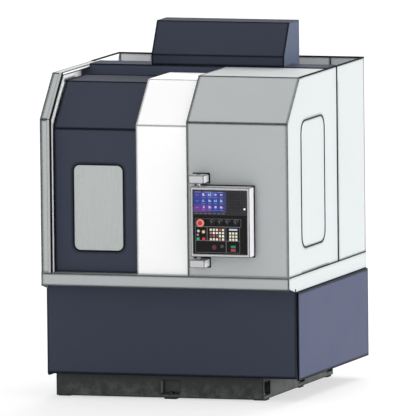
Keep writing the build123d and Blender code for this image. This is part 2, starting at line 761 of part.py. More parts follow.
def spindle_housing():
    """Flared round housing that rises from the bed through the deck."""
    outline = [
        (0, PLATE_BOTTOM), (SPINDLE_BASE_RADIUS, PLATE_BOTTOM),
        (SPINDLE_BASE_RADIUS, DECK_TOP + SPINDLE_BASE_HEIGHT),
        (SPINDLE_NOSE_RADIUS, DECK_TOP + SPINDLE_FLARE_HEIGHT),
        (SPINDLE_NOSE_RADIUS, SPINDLE_TOP), (0, SPINDLE_TOP),
    ]
    return [Location((SPINDLE_X, SPINDLE_Y, 0)) * turned(outline)]


def on_chuck(angle=0):
    """Place on the chuck's back face, turned about the spindle axis."""
    return Location((SPINDLE_X, SPINDLE_Y, SPINDLE_TOP), (0, 0, angle))


def jaw_angles():
    """Direction of each jaw, in degrees."""
    return [90 + 360 * index / JAW_COUNT for index in range(JAW_COUNT)]


def chuck_body():
    """Round chuck with a bore and a radial slot for each jaw."""
    edge = CHUCK_CHAMFER
    outline = [
        (CHUCK_BORE_RADIUS, 0), (CHUCK_RADIUS - edge, 0), (CHUCK_RADIUS, edge),
        (CHUCK_RADIUS, CHUCK_HEIGHT - edge), (CHUCK_RADIUS - edge, CHUCK_HEIGHT),
        (CHUCK_BORE_RADIUS, CHUCK_HEIGHT),
    ]
    body = on_chuck() * turned(outline)
    slot = block(0, CHUCK_RADIUS, -JAW_WIDTH / 2, JAW_WIDTH / 2,
                 CHUCK_HEIGHT - JAW_SEAT, CHUCK_HEIGHT)
    for angle in jaw_angles():
        body -= on_chuck(angle) * slot
    return [body]


def chuck_jaws():
    """Stepped jaws seated in the chuck's slots."""
    floor = CHUCK_HEIGHT - JAW_SEAT
    outline = [(JAW_OUTER, floor), (JAW_INNER, floor)]
    reach = JAW_INNER
    for height, length in zip(JAW_STEP_HEIGHTS, JAW_STEP_LENGTHS):
        outline += [(reach, floor + height), (reach + length, floor + height)]
        reach += length
    face = Plane.XZ * Polygon(*outline, align=None)
    jaw = Location((0, -JAW_WIDTH / 2, 0)) * extrude(face, amount=JAW_WIDTH, dir=(0, 1, 0))
    return [on_chuck(angle) * jaw for angle in jaw_angles()]


def bevelled(x0, x1, y0, y1, z0, z1, bevel):
    """An upright block against a wall at y1, with its two front edges bevelled."""
    plan = [(x0, y1), (x0, y0 + bevel), (x0 + bevel, y0), (x1 - bevel, y0), (x1, y0 + bevel),
            (x1, y1)]
    return upright(plan, z0, z1)


def cross_slide():
    """Carriage cover on the chamber's rear wall."""
    low = DECK_TOP + SLIDE_RISE
    return [bevelled(SLIDE_LEFT, SLIDE_LEFT + SLIDE_WIDTH, SLIDE_FRONT, ROOF_FRONT,
                     low, low + SLIDE_HEIGHT, SLIDE_CHAMFER)]


def way_covers():
    """Telescopic cover plates that step down on both sides of the carriage."""
    low = DECK_TOP + SLIDE_RISE + WAY_COVER_INSET
    high = DECK_TOP + SLIDE_RISE + SLIDE_HEIGHT - WAY_COVER_INSET
    right = SLIDE_LEFT + SLIDE_WIDTH
    plates = []
    for index in range(WAY_PLATE_COUNT):
        front = ROOF_FRONT - WAY_COVER_DEPTH + WAY_PLATE_STEP * index
        start = index / WAY_PLATE_COUNT
        end = (index + 1) / WAY_PLATE_COUNT
        left_span = SLIDE_LEFT + INSIDE
        right_span = INSIDE - right
        plates.append(block(SLIDE_LEFT - left_span * end, SLIDE_LEFT - left_span * start,
                            front, ROOF_FRONT, low, high))
        plates.append(block(right + right_span * start, right + right_span * end,
                            front, ROOF_FRONT, low, high))
    return plates


def ram():
    """Upright ram in front of the carriage."""
    half = RAM_WIDTH / 2
    low = DECK_TOP + RAM_RISE
    return [bevelled(TURRET_X - half, TURRET_X + half, RAM_FRONT, SLIDE_FRONT,
                     low, low + RAM_HEIGHT, RAM_CHAMFER)]


def tool_turret():
    """Many-sided turret disc on the ram's front."""
    disc = RegularPolygon(TURRET_RADIUS, TURRET_STATIONS, major_radius=False)
    facing = Location((TURRET_X, RAM_FRONT, TURRET_Z), (90, 0, 0))
    return [facing * extrude(disc, amount=TURRET_DEPTH)]


def tool_holders():
    """A holder block seated on each flat of the turret."""
    middle = RAM_FRONT - TURRET_DEPTH / 2
    holder = block(TURRET_RADIUS, TURRET_RADIUS + HOLDER_REACH, -HOLDER_DEPTH / 2,
                   HOLDER_DEPTH / 2, -HOLDER_WIDTH / 2, HOLDER_WIDTH / 2)
    holders = []
    for index in range(TURRET_STATIONS):
        angle = 360 * (index + 0.5) / TURRET_STATIONS
        holders.append(Location((TURRET_X, middle, TURRET_Z), (0, angle, 0)) * holder)
    return holders


def write_structure():
    """Bed, skirts and deck."""
    keep("bed_casting", bed_casting())
    keep("levelling_feet", levelling_feet())
    keep("front_skirt", front_skirt())
    keep("side_skirts", both_sides(side_skirt()))
    keep("rear_skirt", rear_skirt())
    keep("front_deck_rail", front_deck_rail())
    keep("side_deck_rails", both_sides(side_deck_rail()))
    keep("rear_deck_rail", rear_deck_rail())
    keep("splash_deck", splash_deck())


def write_enclosure():
    """Walls, roof and fixed covers."""
    keep("right_side_wall", [side_wall()])
    keep("left_side_wall", left_side_wall())
    keep("right_rear_wall", [rear_corner_wall()])
    keep("left_rear_wall", [mirrored(rear_corner_wall())])
    keep("rear_wall_panel", rear_wall_panel())
    keep("access_hatches", both_sides(access_hatch()))
    keep("roof_panel", roof_panel())
    keep("well_cover", well_cover())
    keep("column_hood", column_hood())
    keep("centre_cover", centre_cover())
    keep("control_side_cover", control_side_cover())
    keep("chamber_rear_wall", chamber_rear_wall())


def write_door():
    """Sliding door, window, rails and shoes."""
    keep("door_rails", door_rails())
    keep("door_leaf", door_leaf())
    keep("door_window", door_window())
    keep("window_gasket", window_gasket())
    keep("door_shoes", door_shoes())


def write_panel():
    """Operator panel and its hinge."""
    keep("panel_brackets", panel_brackets())
    keep("panel_hinge_pins", panel_hinge_pins())
    keep("operator_panel_housing", operator_panel_housing())
    keep("operator_fascia", [fascia_plate()])
    keep("control_unit", control_unit())
    keep("display_screen", display_screen())
    keep("data_keys", data_keys())
    keep("function_keys", function_keys())
    keep("emergency_stop", emergency_stop())
    keep("selector_dials", selector_dials())
    keep("push_buttons", push_buttons())


def write_chamber():
    """Spindle, chuck and tool carrier."""
    keep("spindle_housing", spindle_housing())
    keep("chuck_body", chuck_body())
    keep("chuck_jaws", chuck_jaws())
    keep("cross_slide", cross_slide())
    keep("way_covers", way_covers())
    keep("ram", ram())
    keep("tool_turret", tool_turret())
    keep("tool_holders", tool_holders())


write_structure()
write_enclosure()
write_door()
write_panel()
write_chamber()
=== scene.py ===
"""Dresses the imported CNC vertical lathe: paint and metal finishes, operator panel, fasteners and studio.

Lengths are in metres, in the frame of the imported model. The origin lies on the floor under the middle of the
machine, X runs to the operator's right and Y towards the rear.
"""

import json
import logging
import math
from dataclasses import dataclass, replace
from enum import Enum
from typing import Sequence

import bmesh
import bpy
from mathutils import Matrix, Vector

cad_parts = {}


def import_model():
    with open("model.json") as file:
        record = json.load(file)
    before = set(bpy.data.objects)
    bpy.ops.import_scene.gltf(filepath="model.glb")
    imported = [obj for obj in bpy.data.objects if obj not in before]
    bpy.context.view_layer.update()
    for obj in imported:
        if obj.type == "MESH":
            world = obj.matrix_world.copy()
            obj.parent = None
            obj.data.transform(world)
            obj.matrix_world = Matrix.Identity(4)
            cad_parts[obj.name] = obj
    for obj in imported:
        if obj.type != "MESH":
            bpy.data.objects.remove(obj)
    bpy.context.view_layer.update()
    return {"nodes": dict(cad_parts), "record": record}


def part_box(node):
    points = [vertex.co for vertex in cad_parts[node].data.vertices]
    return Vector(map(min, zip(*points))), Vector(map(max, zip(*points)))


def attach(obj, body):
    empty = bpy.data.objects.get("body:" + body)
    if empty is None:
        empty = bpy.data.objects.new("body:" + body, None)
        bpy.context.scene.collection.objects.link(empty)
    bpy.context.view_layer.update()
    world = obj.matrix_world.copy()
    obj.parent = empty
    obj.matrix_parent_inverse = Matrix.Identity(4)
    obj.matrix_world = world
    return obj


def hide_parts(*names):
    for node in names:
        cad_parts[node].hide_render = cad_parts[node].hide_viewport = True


Socket = bpy.types.NodeSocket
Inputs = bpy.types.NodeInputs
Outputs = bpy.types.NodeOutputs
Nodes = dict[str, bpy.types.Object]
Colour = tuple[int, int, int]
Pair = tuple[float, float]
Pairs = tuple[Pair, ...]
Triple = tuple[float, float, float]
Shade = tuple[float, float, float, float]
Outline = list[Pair]
LOG = logging.getLogger("vertical_lathe")
MM = 0.001
SHEET = 4 * MM
GAP = 0.5 * MM
SLOPE_RUN = 330 * MM
WELD_DISTANCE = 0.01 * MM
SMOOTH_ANGLE = math.radians(34)
PLAIN_WHITE: Shade = (1.0, 1.0, 1.0, 1.0)
GLASS_BLACK: Colour = (8, 8, 20)


class Slot(Enum):
    """Material slots of the record, one named with each added piece."""

    PALE = "pale_paint"
    DARK = "dark_paint"
    CHARCOAL = "charcoal_paint"
    BARE_STEEL = "bare_steel"
    CHUCK_STEEL = "chuck_steel"
    GREY = "machine_grey"
    RUBBER = "black_rubber"
    FASCIA = "black_fascia"
    SCREEN = "screen_face"
    CREAM = "cream_keys"
    RED = "red_plastic"
    BUTTON = "button_plastic"
    SHOE = "shoe_plastic"


class Facing(Enum):
    """Directions that a fitting can face, as turns of its own upward axis."""

    UP = (0.0, 0.0, 0.0)
    DOWN = (180.0, 0.0, 0.0)
    FRONT = (90.0, 0.0, 0.0)
    BACK = (90.0, 0.0, 180.0)
    RIGHT = (90.0, 0.0, 90.0)
    LEFT = (90.0, 0.0, -90.0)

    def turn(self) -> Matrix:
        """Gives the rotation as a matrix."""
        about_x, _, about_z = (math.radians(angle) for angle in self.value)
        return Matrix.Rotation(about_z, 4, "Z") @ Matrix.Rotation(about_x, 4, "X")


def linear(colour: Colour) -> Shade:
    """Turns a colour of 0 to 255 steps into the linear values that shaders take.

    Args:
        colour: Red, green and blue as a paint chart gives them.

    Returns:
        Linear red, green, blue and full opacity.
    """
    shares = [step / 255 for step in colour]
    values = [share / 12.92 if share <= 0.04045 else ((share + 0.055) / 1.055) ** 2.4 for share in shares]
    return (values[0], values[1], values[2], 1.0)


def toned(colour: Colour, share: float) -> Shade:
    """Gives a deeper or a lighter tone of a colour.

    Args:
        colour: Red, green and blue as a paint chart gives them.
        share: Below 1 for a deeper tone and above it for a lighter one.

    Returns:
        Linear red, green, blue and full opacity.
    """
    red, green, blue, _ = linear(colour)
    return (min(red * share, 1.0), min(green * share, 1.0), min(blue * share, 1.0), 1.0)


def placed(point: Sequence[float], facing: Facing = Facing.UP) -> Matrix:
    """Gives the matrix of a fitting that stands on a point and faces one way."""
    return Matrix.Translation(point) @ facing.turn()


def rounded_outline(width: float, height: float, radius: float, steps: int = 6) -> Outline:
    """Traces a rectangle with round corners about its own middle.

    Args:
        width: Full width.
        height: Full height.
        radius: Corner radius.
        steps: Edges in each corner.

    Returns:
        Points of the outline, anticlockwise.
    """
    points = []
    corners = ((1, 1, 0), (-1, 1, 90), (-1, -1, 180), (1, -1, 270))
    for side_x, side_y, start in corners:
        for step in range(steps + 1):
            angle = math.radians(start + 90 * step / steps)
            x = side_x * (width / 2 - radius) + radius * math.cos(angle)
            y = side_y * (height / 2 - radius) + radius * math.sin(angle)
            points.append((x, y))
    return points


def circle_outline(radius: float, steps: int = 36, sides: int = 0) -> Outline:
    """Traces a circle, or the flat-sided shape inside it.

    Args:
        radius: Distance from the middle to the circle, or to the shape's corners.
        steps: Points of the outline.
        sides: Flat sides, or 0 for a circle.

    Returns:
        Points of the outline, anticlockwise.
    """
    points = []
    for step in range(steps):
        angle = math.tau * step / steps
        reach = radius
        if sides:
            half = math.pi / sides
            reach = radius * math.cos(half) / math.cos(angle % (2 * half) - half)
        points.append((reach * math.cos(angle), reach * math.sin(angle)))
    return points


def arc_outline(inner: float, outer: float, start: float, end: float, steps: int = 16) -> Outline:
    """Traces a band between two radii.

    Args:
        inner: Radius of the near edge.
        outer: Radius of the far edge.
        start: Angle of the first end, in degrees.
        end: Angle of the last end, in degrees.
        steps: Edges along each arc.

    Returns:
        Points of the outline, anticlockwise.
    """
    angles = [math.radians(start + (end - start) * step / steps) for step in range(steps + 1)]
    far = [(outer * math.cos(angle), outer * math.sin(angle)) for angle in angles]
    near = [(inner * math.cos(angle), inner * math.sin(angle)) for angle in reversed(angles)]
    return far + near


class NodeSketch:
    """Adds and links the nodes of one shader or group.

    A Mix node has sockets for every kind of data, so those for numbers and for colours go by their place.
    """

    number_inputs = (0, 2, 3)
    number_output = 0
    colour_inputs = (0, 6, 7)
    colour_output = 2
    noise_middle = (0.3, 0.7)

    def __init__(self, tree: bpy.types.NodeTree) -> None:
        """Keeps the tree that the nodes go into."""
        self.tree = tree

    def add(self, kind: str, **settings: object) -> bpy.types.Node:
        """Adds a node and sets its properties.

        Args:
            kind: Blender's name of the node type.
            **settings: Properties of the node, by name.

        Returns:
            The new node.
        """
        node = self.tree.nodes.new(kind)
        for name, value in settings.items():
            setattr(node, name, value)
        return node

    def feed(self, socket: Socket, value: object) -> None:
        """Links a socket, or sets its value where a plain one is given.

        Args:
            socket: Input socket of a node.
            value: Output socket of another node, or a number or a colour.
        """
        if isinstance(value, Socket):
            self.tree.links.new(value, socket)
        else:
            socket.default_value = value

    def sum(self, operation: str, *values: object, clamp: bool = False) -> Socket:
        """Adds a Math node.

        Args:
            operation: Blender's name of the operation.
            *values: Sockets or numbers that it works on.
            clamp: Keeps the result between 0 and 1.

        Returns:
            The result's socket.
        """
        node = self.add("ShaderNodeMath", operation=operation, use_clamp=clamp)
        for socket, value in zip(node.inputs, values):
            self.feed(socket, value)
        return node.outputs[0]

    def ramp(self, value: object, low: object, high: object, out_low: object = 0.0,
             out_high: object = 1.0) -> Socket:
        """Maps one range of values smoothly to another.

        Args:
            value: Socket or number to map.
            low: Socket or number that gives out_low.
            high: Socket or number that gives out_high.
            out_low: Result at the low value.
            out_high: Result at the high value.

        Returns:
            The result's socket.
        """
        node = self.add("ShaderNodeMapRange", interpolation_type="SMOOTHSTEP")
        for socket, given in zip(node.inputs, (value, low, high, out_low, out_high)):
            self.feed(socket, given)
        return node.outputs[0]

    def spread(self, noise: Socket, low: float, high: float) -> Socket:
        """Spreads the middle values of a noise over a range."""
        return self.ramp(noise, *self.noise_middle, low, high)

    def mottle(self, noise: Socket, colour: Colour, deep_share: float) -> Socket:
        """Varies a colour between a deeper tone and itself."""
        return self.blend(noise, toned(colour, deep_share), linear(colour))

    def blend(self, share: object, first: object, second: object) -> Socket:
        """Mixes two colours.

        Args:
            share: Share of the second colour, as a socket or a number.
            first: Socket or colour that shows at a share of 0.
            second: Socket or colour that shows at a share of 1.

        Returns:
            The mixed colour's socket.
        """
        node = self.add("ShaderNodeMix", data_type="RGBA")
        for index, value in zip(self.colour_inputs, (share, first, second)):
            self.feed(node.inputs[index], value)
        return node.outputs[self.colour_output]

    def noise(self, where: object, scale: object, detail: float = 2.0, roughness: float = 0.5) -> Socket:
        """Adds a noise texture.

        Args:
            where: Socket of the place.
            scale: Waves in a metre, as a number or a socket.
            detail: Finer waves that are added.
            roughness: Share of the finer waves.

        Returns:
            The noise's socket, from 0 to 1.
        """
        node = self.add("ShaderNodeTexNoise")
        self.feed(node.inputs["Vector"], where)
        self.feed(node.inputs["Scale"], scale)
        node.inputs["Detail"].default_value = detail
        node.inputs["Roughness"].default_value = roughness
        return node.outputs["Fac"]

    def spot(self) -> Socket:
        """Gives the place on the piece, in metres."""
        return self.add("ShaderNodeTexCoord").outputs["Object"]

    def surface(self, name: str) -> Socket:
        """Gives the place, the normal or the side of the face that a ray meets, by its socket's name."""
        return self.add("ShaderNodeNewGeometry").outputs[name]

    def axis(self, vector: Socket, letter: str) -> Socket:
        """Gives one axis of a vector.

        Args:
            vector: Socket of the vector.
            letter: X, Y or Z.

        Returns:
            The number's socket.
        """
        parts = self.add("ShaderNodeSeparateXYZ")
        self.feed(parts.inputs[0], vector)
        return parts.outputs[letter]

    def seen(self) -> Socket:
        """Marks the rays that show the backdrop, straight, mirrored or through glass.

        Returns:
            Socket that gives 1 for those rays and 0 for the ones that light the machine.
        """
        rays = self.add("ShaderNodeLightPath").outputs
        shown = self.sum("MAXIMUM", rays["Is Camera Ray"], rays["Is Glossy Ray"])
        return self.sum("MAXIMUM", shown, rays["Is Transmission Ray"])

    def layer(self, share: Socket, under: Socket, over: Socket) -> Socket:
        """Lays one shader over another.

        Args:
            share: Socket that gives the share of the upper shader.
            under: Socket of the lower shader.
            over: Socket of the upper shader.

        Returns:
            The mixed shader's socket.
        """
        node = self.add("ShaderNodeMixShader")
        for socket, value in zip(node.inputs, (share, under, over)):
            self.feed(socket, value)
        return node.outputs[0]

    def effect(self, group: type["EffectGroup"], **values: object) -> bpy.types.Node:
        """Places a shared effect, with its named inputs linked or set.

        Args:
            group: The effect's class.
            **values: Inputs by name, with underscores for spaces.

        Returns:
            The group node.
        """
        node = self.add("ShaderNodeGroup", node_tree=group.tree())
        for name, value in values.items():
            self.feed(node.inputs[name.replace("_", " ")], value)
        return node


class EffectGroup:
    """A shader node group that several materials place with their own values."""

    title = ""
    inputs: tuple[tuple[str, float], ...] = ()
    outputs: tuple[str, ...] = ()

    @classmethod
    def tree(cls) -> bpy.types.NodeTree:
        """Builds the group once and gives it back each time after.

        Returns:
            The group's node tree.
        """
        made = bpy.data.node_groups.get(cls.title)
        if made is None:
            made = bpy.data.node_groups.new(cls.title, "ShaderNodeTree")
            for name, value in cls.inputs:
                socket = made.interface.new_socket(name, in_out="INPUT", socket_type="NodeSocketFloat")
                socket.default_value = value
            for name in cls.outputs:
                made.interface.new_socket(name, in_out="OUTPUT", socket_type="NodeSocketFloat")
            sketch = NodeSketch(made)
            given = sketch.add("NodeGroupInput").outputs
            result = sketch.add("NodeGroupOutput").inputs
            cls.draw(sketch, given, result)
        return made

    @classmethod
    def draw(cls, sketch: NodeSketch, given: Outputs, result: Inputs) -> None:
        """Adds the group's own nodes between its inputs and its outputs."""
        raise NotImplementedError


class EdgeLine(EffectGroup):
    """Marks a narrow band along folds and edges, that each finish tints in a colour of its own."""

    title = "edge_line"
    inputs = (("Width", 0.005), ("Sharpness", 0.5))
    outputs = ("Mask",)

    @classmethod
    def draw(cls, sketch: NodeSketch, given: Outputs, result: Inputs) -> None:
        """Compares the rounded normal near an edge with the flat one.

        Args:
            sketch: The group's nodes.
            given: Its inputs.
            result: Its outputs.
        """
        rounded = sketch.add("ShaderNodeBevel", samples=6)
        sketch.feed(rounded.inputs["Radius"], given["Width"])
        flat = sketch.surface("Normal")
        likeness = sketch.add("ShaderNodeVectorMath", operation="DOT_PRODUCT")
        sketch.feed(likeness.inputs[0], rounded.outputs[0])
        sketch.feed(likeness.inputs[1], flat)
        bend = sketch.sum("SUBTRACT", 1.0, likeness.outputs["Value"])
        full = sketch.ramp(given["Sharpness"], 0.0, 1.0, 0.14, 0.01)
        sketch.feed(result["Mask"], sketch.ramp(bend, 0.0015, full))


class FineTexture(EffectGroup):
    """Powder coat or moulded grain: small bumps, and clouds of slightly uneven tone."""

    title = "fine_texture"
    inputs = (("Grain Scale", 900.0), ("Cloud Scale", 3.0), ("Cloud Share", 0.5))
    outputs = ("Height", "Tone")

    @classmethod
    def draw(cls, sketch: NodeSketch, given: Outputs, result: Inputs) -> None:
        """Mixes a fine noise and a wide one.

        Args:
            sketch: The group's nodes.
            given: Its inputs.
            result: Its outputs.
        """
        spot = sketch.spot()
        grain = sketch.noise(spot, given["Grain Scale"], detail=3.0, roughness=0.6)
        cloud = sketch.noise(spot, given["Cloud Scale"], detail=4.0, roughness=0.55)
        mixed = sketch.add("ShaderNodeMix", data_type="FLOAT")
        for index, value in zip(sketch.number_inputs, (given["Cloud Share"], grain, cloud)):
            sketch.feed(mixed.inputs[index], value)
        sketch.feed(result["Height"], grain)
        sketch.feed(result["Tone"], mixed.outputs[sketch.number_output])


class BrushedGrain(EffectGroup):
    """Long fine scratches along one direction, as ground or rolled steel has."""

    title = "brushed_grain"
    inputs = (("Along X", 4.0), ("Along Y", 400.0), ("Along Z", 400.0))
    outputs = ("Height", "Tone")

    @classmethod
    def draw(cls, sketch: NodeSketch, given: Outputs, result: Inputs) -> None:
        """Stretches a noise by its own scale on each axis.

        Args:
            sketch: The group's nodes.
            given: Its inputs.
            result: Its outputs.
        """
        stretch = sketch.add("ShaderNodeCombineXYZ")
        for axis in "XYZ":
            sketch.feed(stretch.inputs[axis], given[f"Along {axis}"])
        scaled = sketch.add("ShaderNodeVectorMath", operation="MULTIPLY")
        sketch.feed(scaled.inputs[0], sketch.spot())
        sketch.feed(scaled.inputs[1], stretch.outputs[0])
        streak = sketch.noise(scaled.outputs[0], 1.0, detail=5.0, roughness=0.65)
        cloud = sketch.noise(sketch.spot(), 5.0)
        sketch.feed(result["Height"], streak)
        scratched = sketch.sum("MULTIPLY", streak, 0.6)
        sketch.feed(result["Tone"], sketch.sum("MULTIPLY_ADD", cloud, 0.4, scratched))


class ShopDust(EffectGroup):
    """A thin film that settles on upward faces and near the floor, and masks of which way a face looks, which
    carry painted shade on tops and painted light on sides.
    """

    title = "shop_dust"
    inputs = (("Reach", 0.5), ("Amount", 0.5))
    outputs = ("Mask", "Upward", "Sideways")

    @classmethod
    def draw(cls, sketch: NodeSketch, given: Outputs, result: Inputs) -> None:
        """Joins a low band and the upward faces, broken up by noise.

        Args:
            sketch: The group's nodes.
            given: Its inputs.
            result: Its outputs.
        """
        height = sketch.axis(sketch.surface("Position"), "Z")
        normal = sketch.surface("Normal")
        low = sketch.ramp(height, 0.0, given["Reach"], 1.0, 0.0)
        flat = sketch.ramp(sketch.axis(normal, "Z"), 0.7, 1.0)
        upright = sketch.ramp(sketch.sum("ABSOLUTE", sketch.axis(normal, "X")), 0.7, 1.0)
        broken = sketch.ramp(sketch.noise(sketch.spot(), 14.0, detail=5.0, roughness=0.7), 0.35, 0.7)
        sketch.feed(result["Upward"], flat)
        sketch.feed(result["Sideways"], upright)
        film = sketch.sum("MULTIPLY", sketch.sum("MAXIMUM", low, flat), broken)
        sketch.feed(result["Mask"], sketch.sum("MULTIPLY", film, given["Amount"], clamp=True))


@dataclass(frozen=True)
class Finish:
    """What every finish has: a name, and one material built on first use."""

    name: str

    def material(self) -> bpy.types.Material:
        """Builds the material once and gives it back each time after.

        Returns:
            The material, under the finish's name.
        """
        made = bpy.data.materials.get(self.name)
        if made is None:
            made = bpy.data.materials.new(self.name)
            made.use_nodes = True
            made.node_tree.nodes.clear()
            sketch = NodeSketch(made.node_tree)
            shader = sketch.add("ShaderNodeBsdfPrincipled")
            output = sketch.add("ShaderNodeOutputMaterial")
            sketch.feed(output.inputs["Surface"], shader.outputs[0])
            self.draw(sketch, shader.inputs)
        return made

    def draw(self, sketch: NodeSketch, shader: Inputs) -> None:
        """Adds the finish's own nodes and links them to its shader."""
        raise NotImplementedError


def bump(sketch: NodeSketch, shader: Inputs, height: Socket, share: float, distance: float) -> None:
    """Makes a surface look raised.

    Args:
        sketch: The material's nodes.
        shader: Inputs of its shader.
        height: Socket that gives the height, from 0 to 1.
        share: Share of the full bump.
        distance: Height of the bump in metres.
    """
    node = sketch.add("ShaderNodeBump")
    node.inputs["Strength"].default_value = share
    node.inputs["Distance"].default_value = distance
    sketch.feed(node.inputs["Height"], height)
    sketch.feed(shader["Normal"], node.outputs["Normal"])


def edge_mask(sketch: NodeSketch, width: float, sharpness: float, share: float) -> Socket:
    """Marks the edges of a piece.

    Args:
        sketch: The material's nodes.
        width: How far a mark reaches from its edge.
        sharpness: 1 for a hard mark and 0 for a soft one.
        share: Depth of the mark.

    Returns:
        The mask's socket.
    """
    edges = sketch.effect(EdgeLine, Width=width, Sharpness=sharpness)
    return sketch.sum("MULTIPLY", edges.outputs["Mask"], share)


@dataclass(frozen=True)
class PaintFinish(Finish):
    """Sprayed enamel with a fine orange peel, dark fold lines and a little shop dust.

    The top share deepens the faces that look up, as painted shade. What lies below the foot height has the
    line's colour.
    """

    colour: Colour
    line: Colour
    line_share: float = 1.0
    line_width: float = 26 * MM
    roughness: float = 0.42
    smoother: float = 0.04
    rougher: float = 0.06
    dust_roughness: float = 0.4
    gloss: float = 0.35
    tone: float = 0.06
    peel_scale: float = 650.0
    peel_share: float = 0.35
    peel_height: float = 0.12 * MM
    dust: Colour = (196, 192, 182)
    dust_reach: float = 350 * MM
    dust_amount: float = 0.12
    top_shade_share: float = 1.0
    foot: float = 0.0
    foot_blur: float = 1 * MM

    def draw(self, sketch: NodeSketch, shader: Inputs) -> None:
        """Lays uneven tone, painted shade on upward faces, dust and fold lines over the paint's colour.

        Args:
            sketch: The material's nodes.
            shader: Inputs of its shader.
        """
        texture = sketch.effect(FineTexture, Grain_Scale=self.peel_scale, Cloud_Scale=2.6,
                                Cloud_Share=0.75)
        film = sketch.effect(ShopDust, Reach=self.dust_reach, Amount=self.dust_amount)
        paint = sketch.blend(texture.outputs["Tone"], toned(self.colour, 1 - self.tone),
                             toned(self.colour, 1 + self.tone))
        # Painted shade: faces that look up take a deeper tone of the paint.
        if self.top_shade_share != 1.0:
            paint = sketch.blend(film.outputs["Upward"], paint, toned(self.colour, self.top_shade_share))
        dusted = sketch.blend(film.outputs["Mask"], paint, linear(self.dust))
        line = edge_mask(sketch, self.line_width, sharpness=1.0, share=self.line_share)
        if self.foot:
            height = sketch.axis(sketch.surface("Position"), "Z")
            band = sketch.ramp(height, self.foot - self.foot_blur, self.foot + self.foot_blur, 1.0, 0.0)
            line = sketch.sum("MAXIMUM", line, band)
        sketch.feed(shader["Base Color"], sketch.blend(line, dusted, linear(self.line)))
        low, high = self.roughness - self.smoother, self.roughness + self.rougher
        rough = sketch.spread(texture.outputs["Tone"], low, high)
        rough = sketch.sum("MULTIPLY_ADD", film.outputs["Mask"], self.dust_roughness, rough)
        sketch.feed(shader["Roughness"], rough)
        shader["Specular IOR Level"].default_value = self.gloss
        bump(sketch, shader, texture.outputs["Height"], self.peel_share, self.peel_height)


@dataclass(frozen=True)
class CastFinish(Finish):
    """Machine paint over a rough casting: pitted skin, chipped and dusty near the floor.

    The side share is how much paler the paint is on faces that look to the left or the right, as painted
    light.
    """

    colour: Colour
    line: Colour
    chip: Colour = (92, 94, 92)
    chip_share: float = 0.18
    dust: Colour = (142, 143, 139)
    dust_reach: float = 200 * MM
    dust_amount: float = 0.25
    deep_share: float = 0.86
    side_light_share: float = 1.0
    line_share: float = 0.85
    line_width: float = 18 * MM
    wear_range: Pair = (0.56, 0.72)
    rough_range: Pair = (0.5, 0.68)
    gloss: float = 0.3
    pit_share: float = 0.6
    pit_height: float = 0.8 * MM

    def draw(self, sketch: NodeSketch, shader: Inputs) -> None:
        """Lays a lumpy skin under the paint, bares it where edges knock and pales the sideways faces as
        painted light.

        Args:
            sketch: The material's nodes.
            shader: Inputs of its shader.
        """
        texture = sketch.effect(FineTexture, Grain_Scale=160.0, Cloud_Scale=7.0, Cloud_Share=0.6)
        film = sketch.effect(ShopDust, Reach=self.dust_reach, Amount=self.dust_amount)
        worn = sketch.ramp(texture.outputs["Tone"], *self.wear_range)
        paint = sketch.mottle(texture.outputs["Tone"], self.colour, self.deep_share)
        # Painted light: faces that look to the left or the right take a paler tone.
        paint = sketch.blend(film.outputs["Sideways"], paint, toned(self.colour, self.side_light_share))
        chipped = sketch.blend(sketch.sum("MULTIPLY", worn, self.chip_share), paint, linear(self.chip))
        dusted = sketch.blend(film.outputs["Mask"], chipped, linear(self.dust))
        line = edge_mask(sketch, self.line_width, sharpness=1.0, share=self.line_share)
        sketch.feed(shader["Base Color"], sketch.blend(line, dusted, linear(self.line)))
        sketch.feed(shader["Roughness"], sketch.spread(texture.outputs["Tone"], *self.rough_range))
        shader["Specular IOR Level"].default_value = self.gloss
        bump(sketch, shader, texture.outputs["Height"], self.pit_share, self.pit_height)


@dataclass(frozen=True)
class SteelFinish(Finish):
    """Ground, turned or rolled steel with scratches along its grain."""

    colour: Colour
    roughness: float = 0.32
    smoother: float = 0.08
    rougher: float = 0.14
    grain: Triple = (6.0, 500.0, 500.0)
    metallic: float = 1.0
    deep_share: float = 0.72
    edge: Colour = (38, 38, 40)
    edge_width: float = 2 * MM
    scratch_share: float = 0.25
    scratch_height: float = 0.2 * MM

    def draw(self, sketch: NodeSketch, shader: Inputs) -> None:
        """Streaks the colour and the gloss along the grain.

        Args:
            sketch: The material's nodes.
            shader: Inputs of its shader.
        """
        along_x, along_y, along_z = self.grain
        grain = sketch.effect(BrushedGrain, Along_X=along_x, Along_Y=along_y, Along_Z=along_z)
        steel = sketch.mottle(grain.outputs["Tone"], self.colour, self.deep_share)
        edge = edge_mask(sketch, self.edge_width, sharpness=0.5, share=0.5)
        sketch.feed(shader["Base Color"], sketch.blend(edge, steel, linear(self.edge)))
        low, high = self.roughness - self.smoother, self.roughness + self.rougher
        sketch.feed(shader["Roughness"], sketch.ramp(grain.outputs["Tone"], 0.25, 0.75, low, high))
        shader["Metallic"].default_value = self.metallic
        bump(sketch, shader, grain.outputs["Height"], self.scratch_share, self.scratch_height)


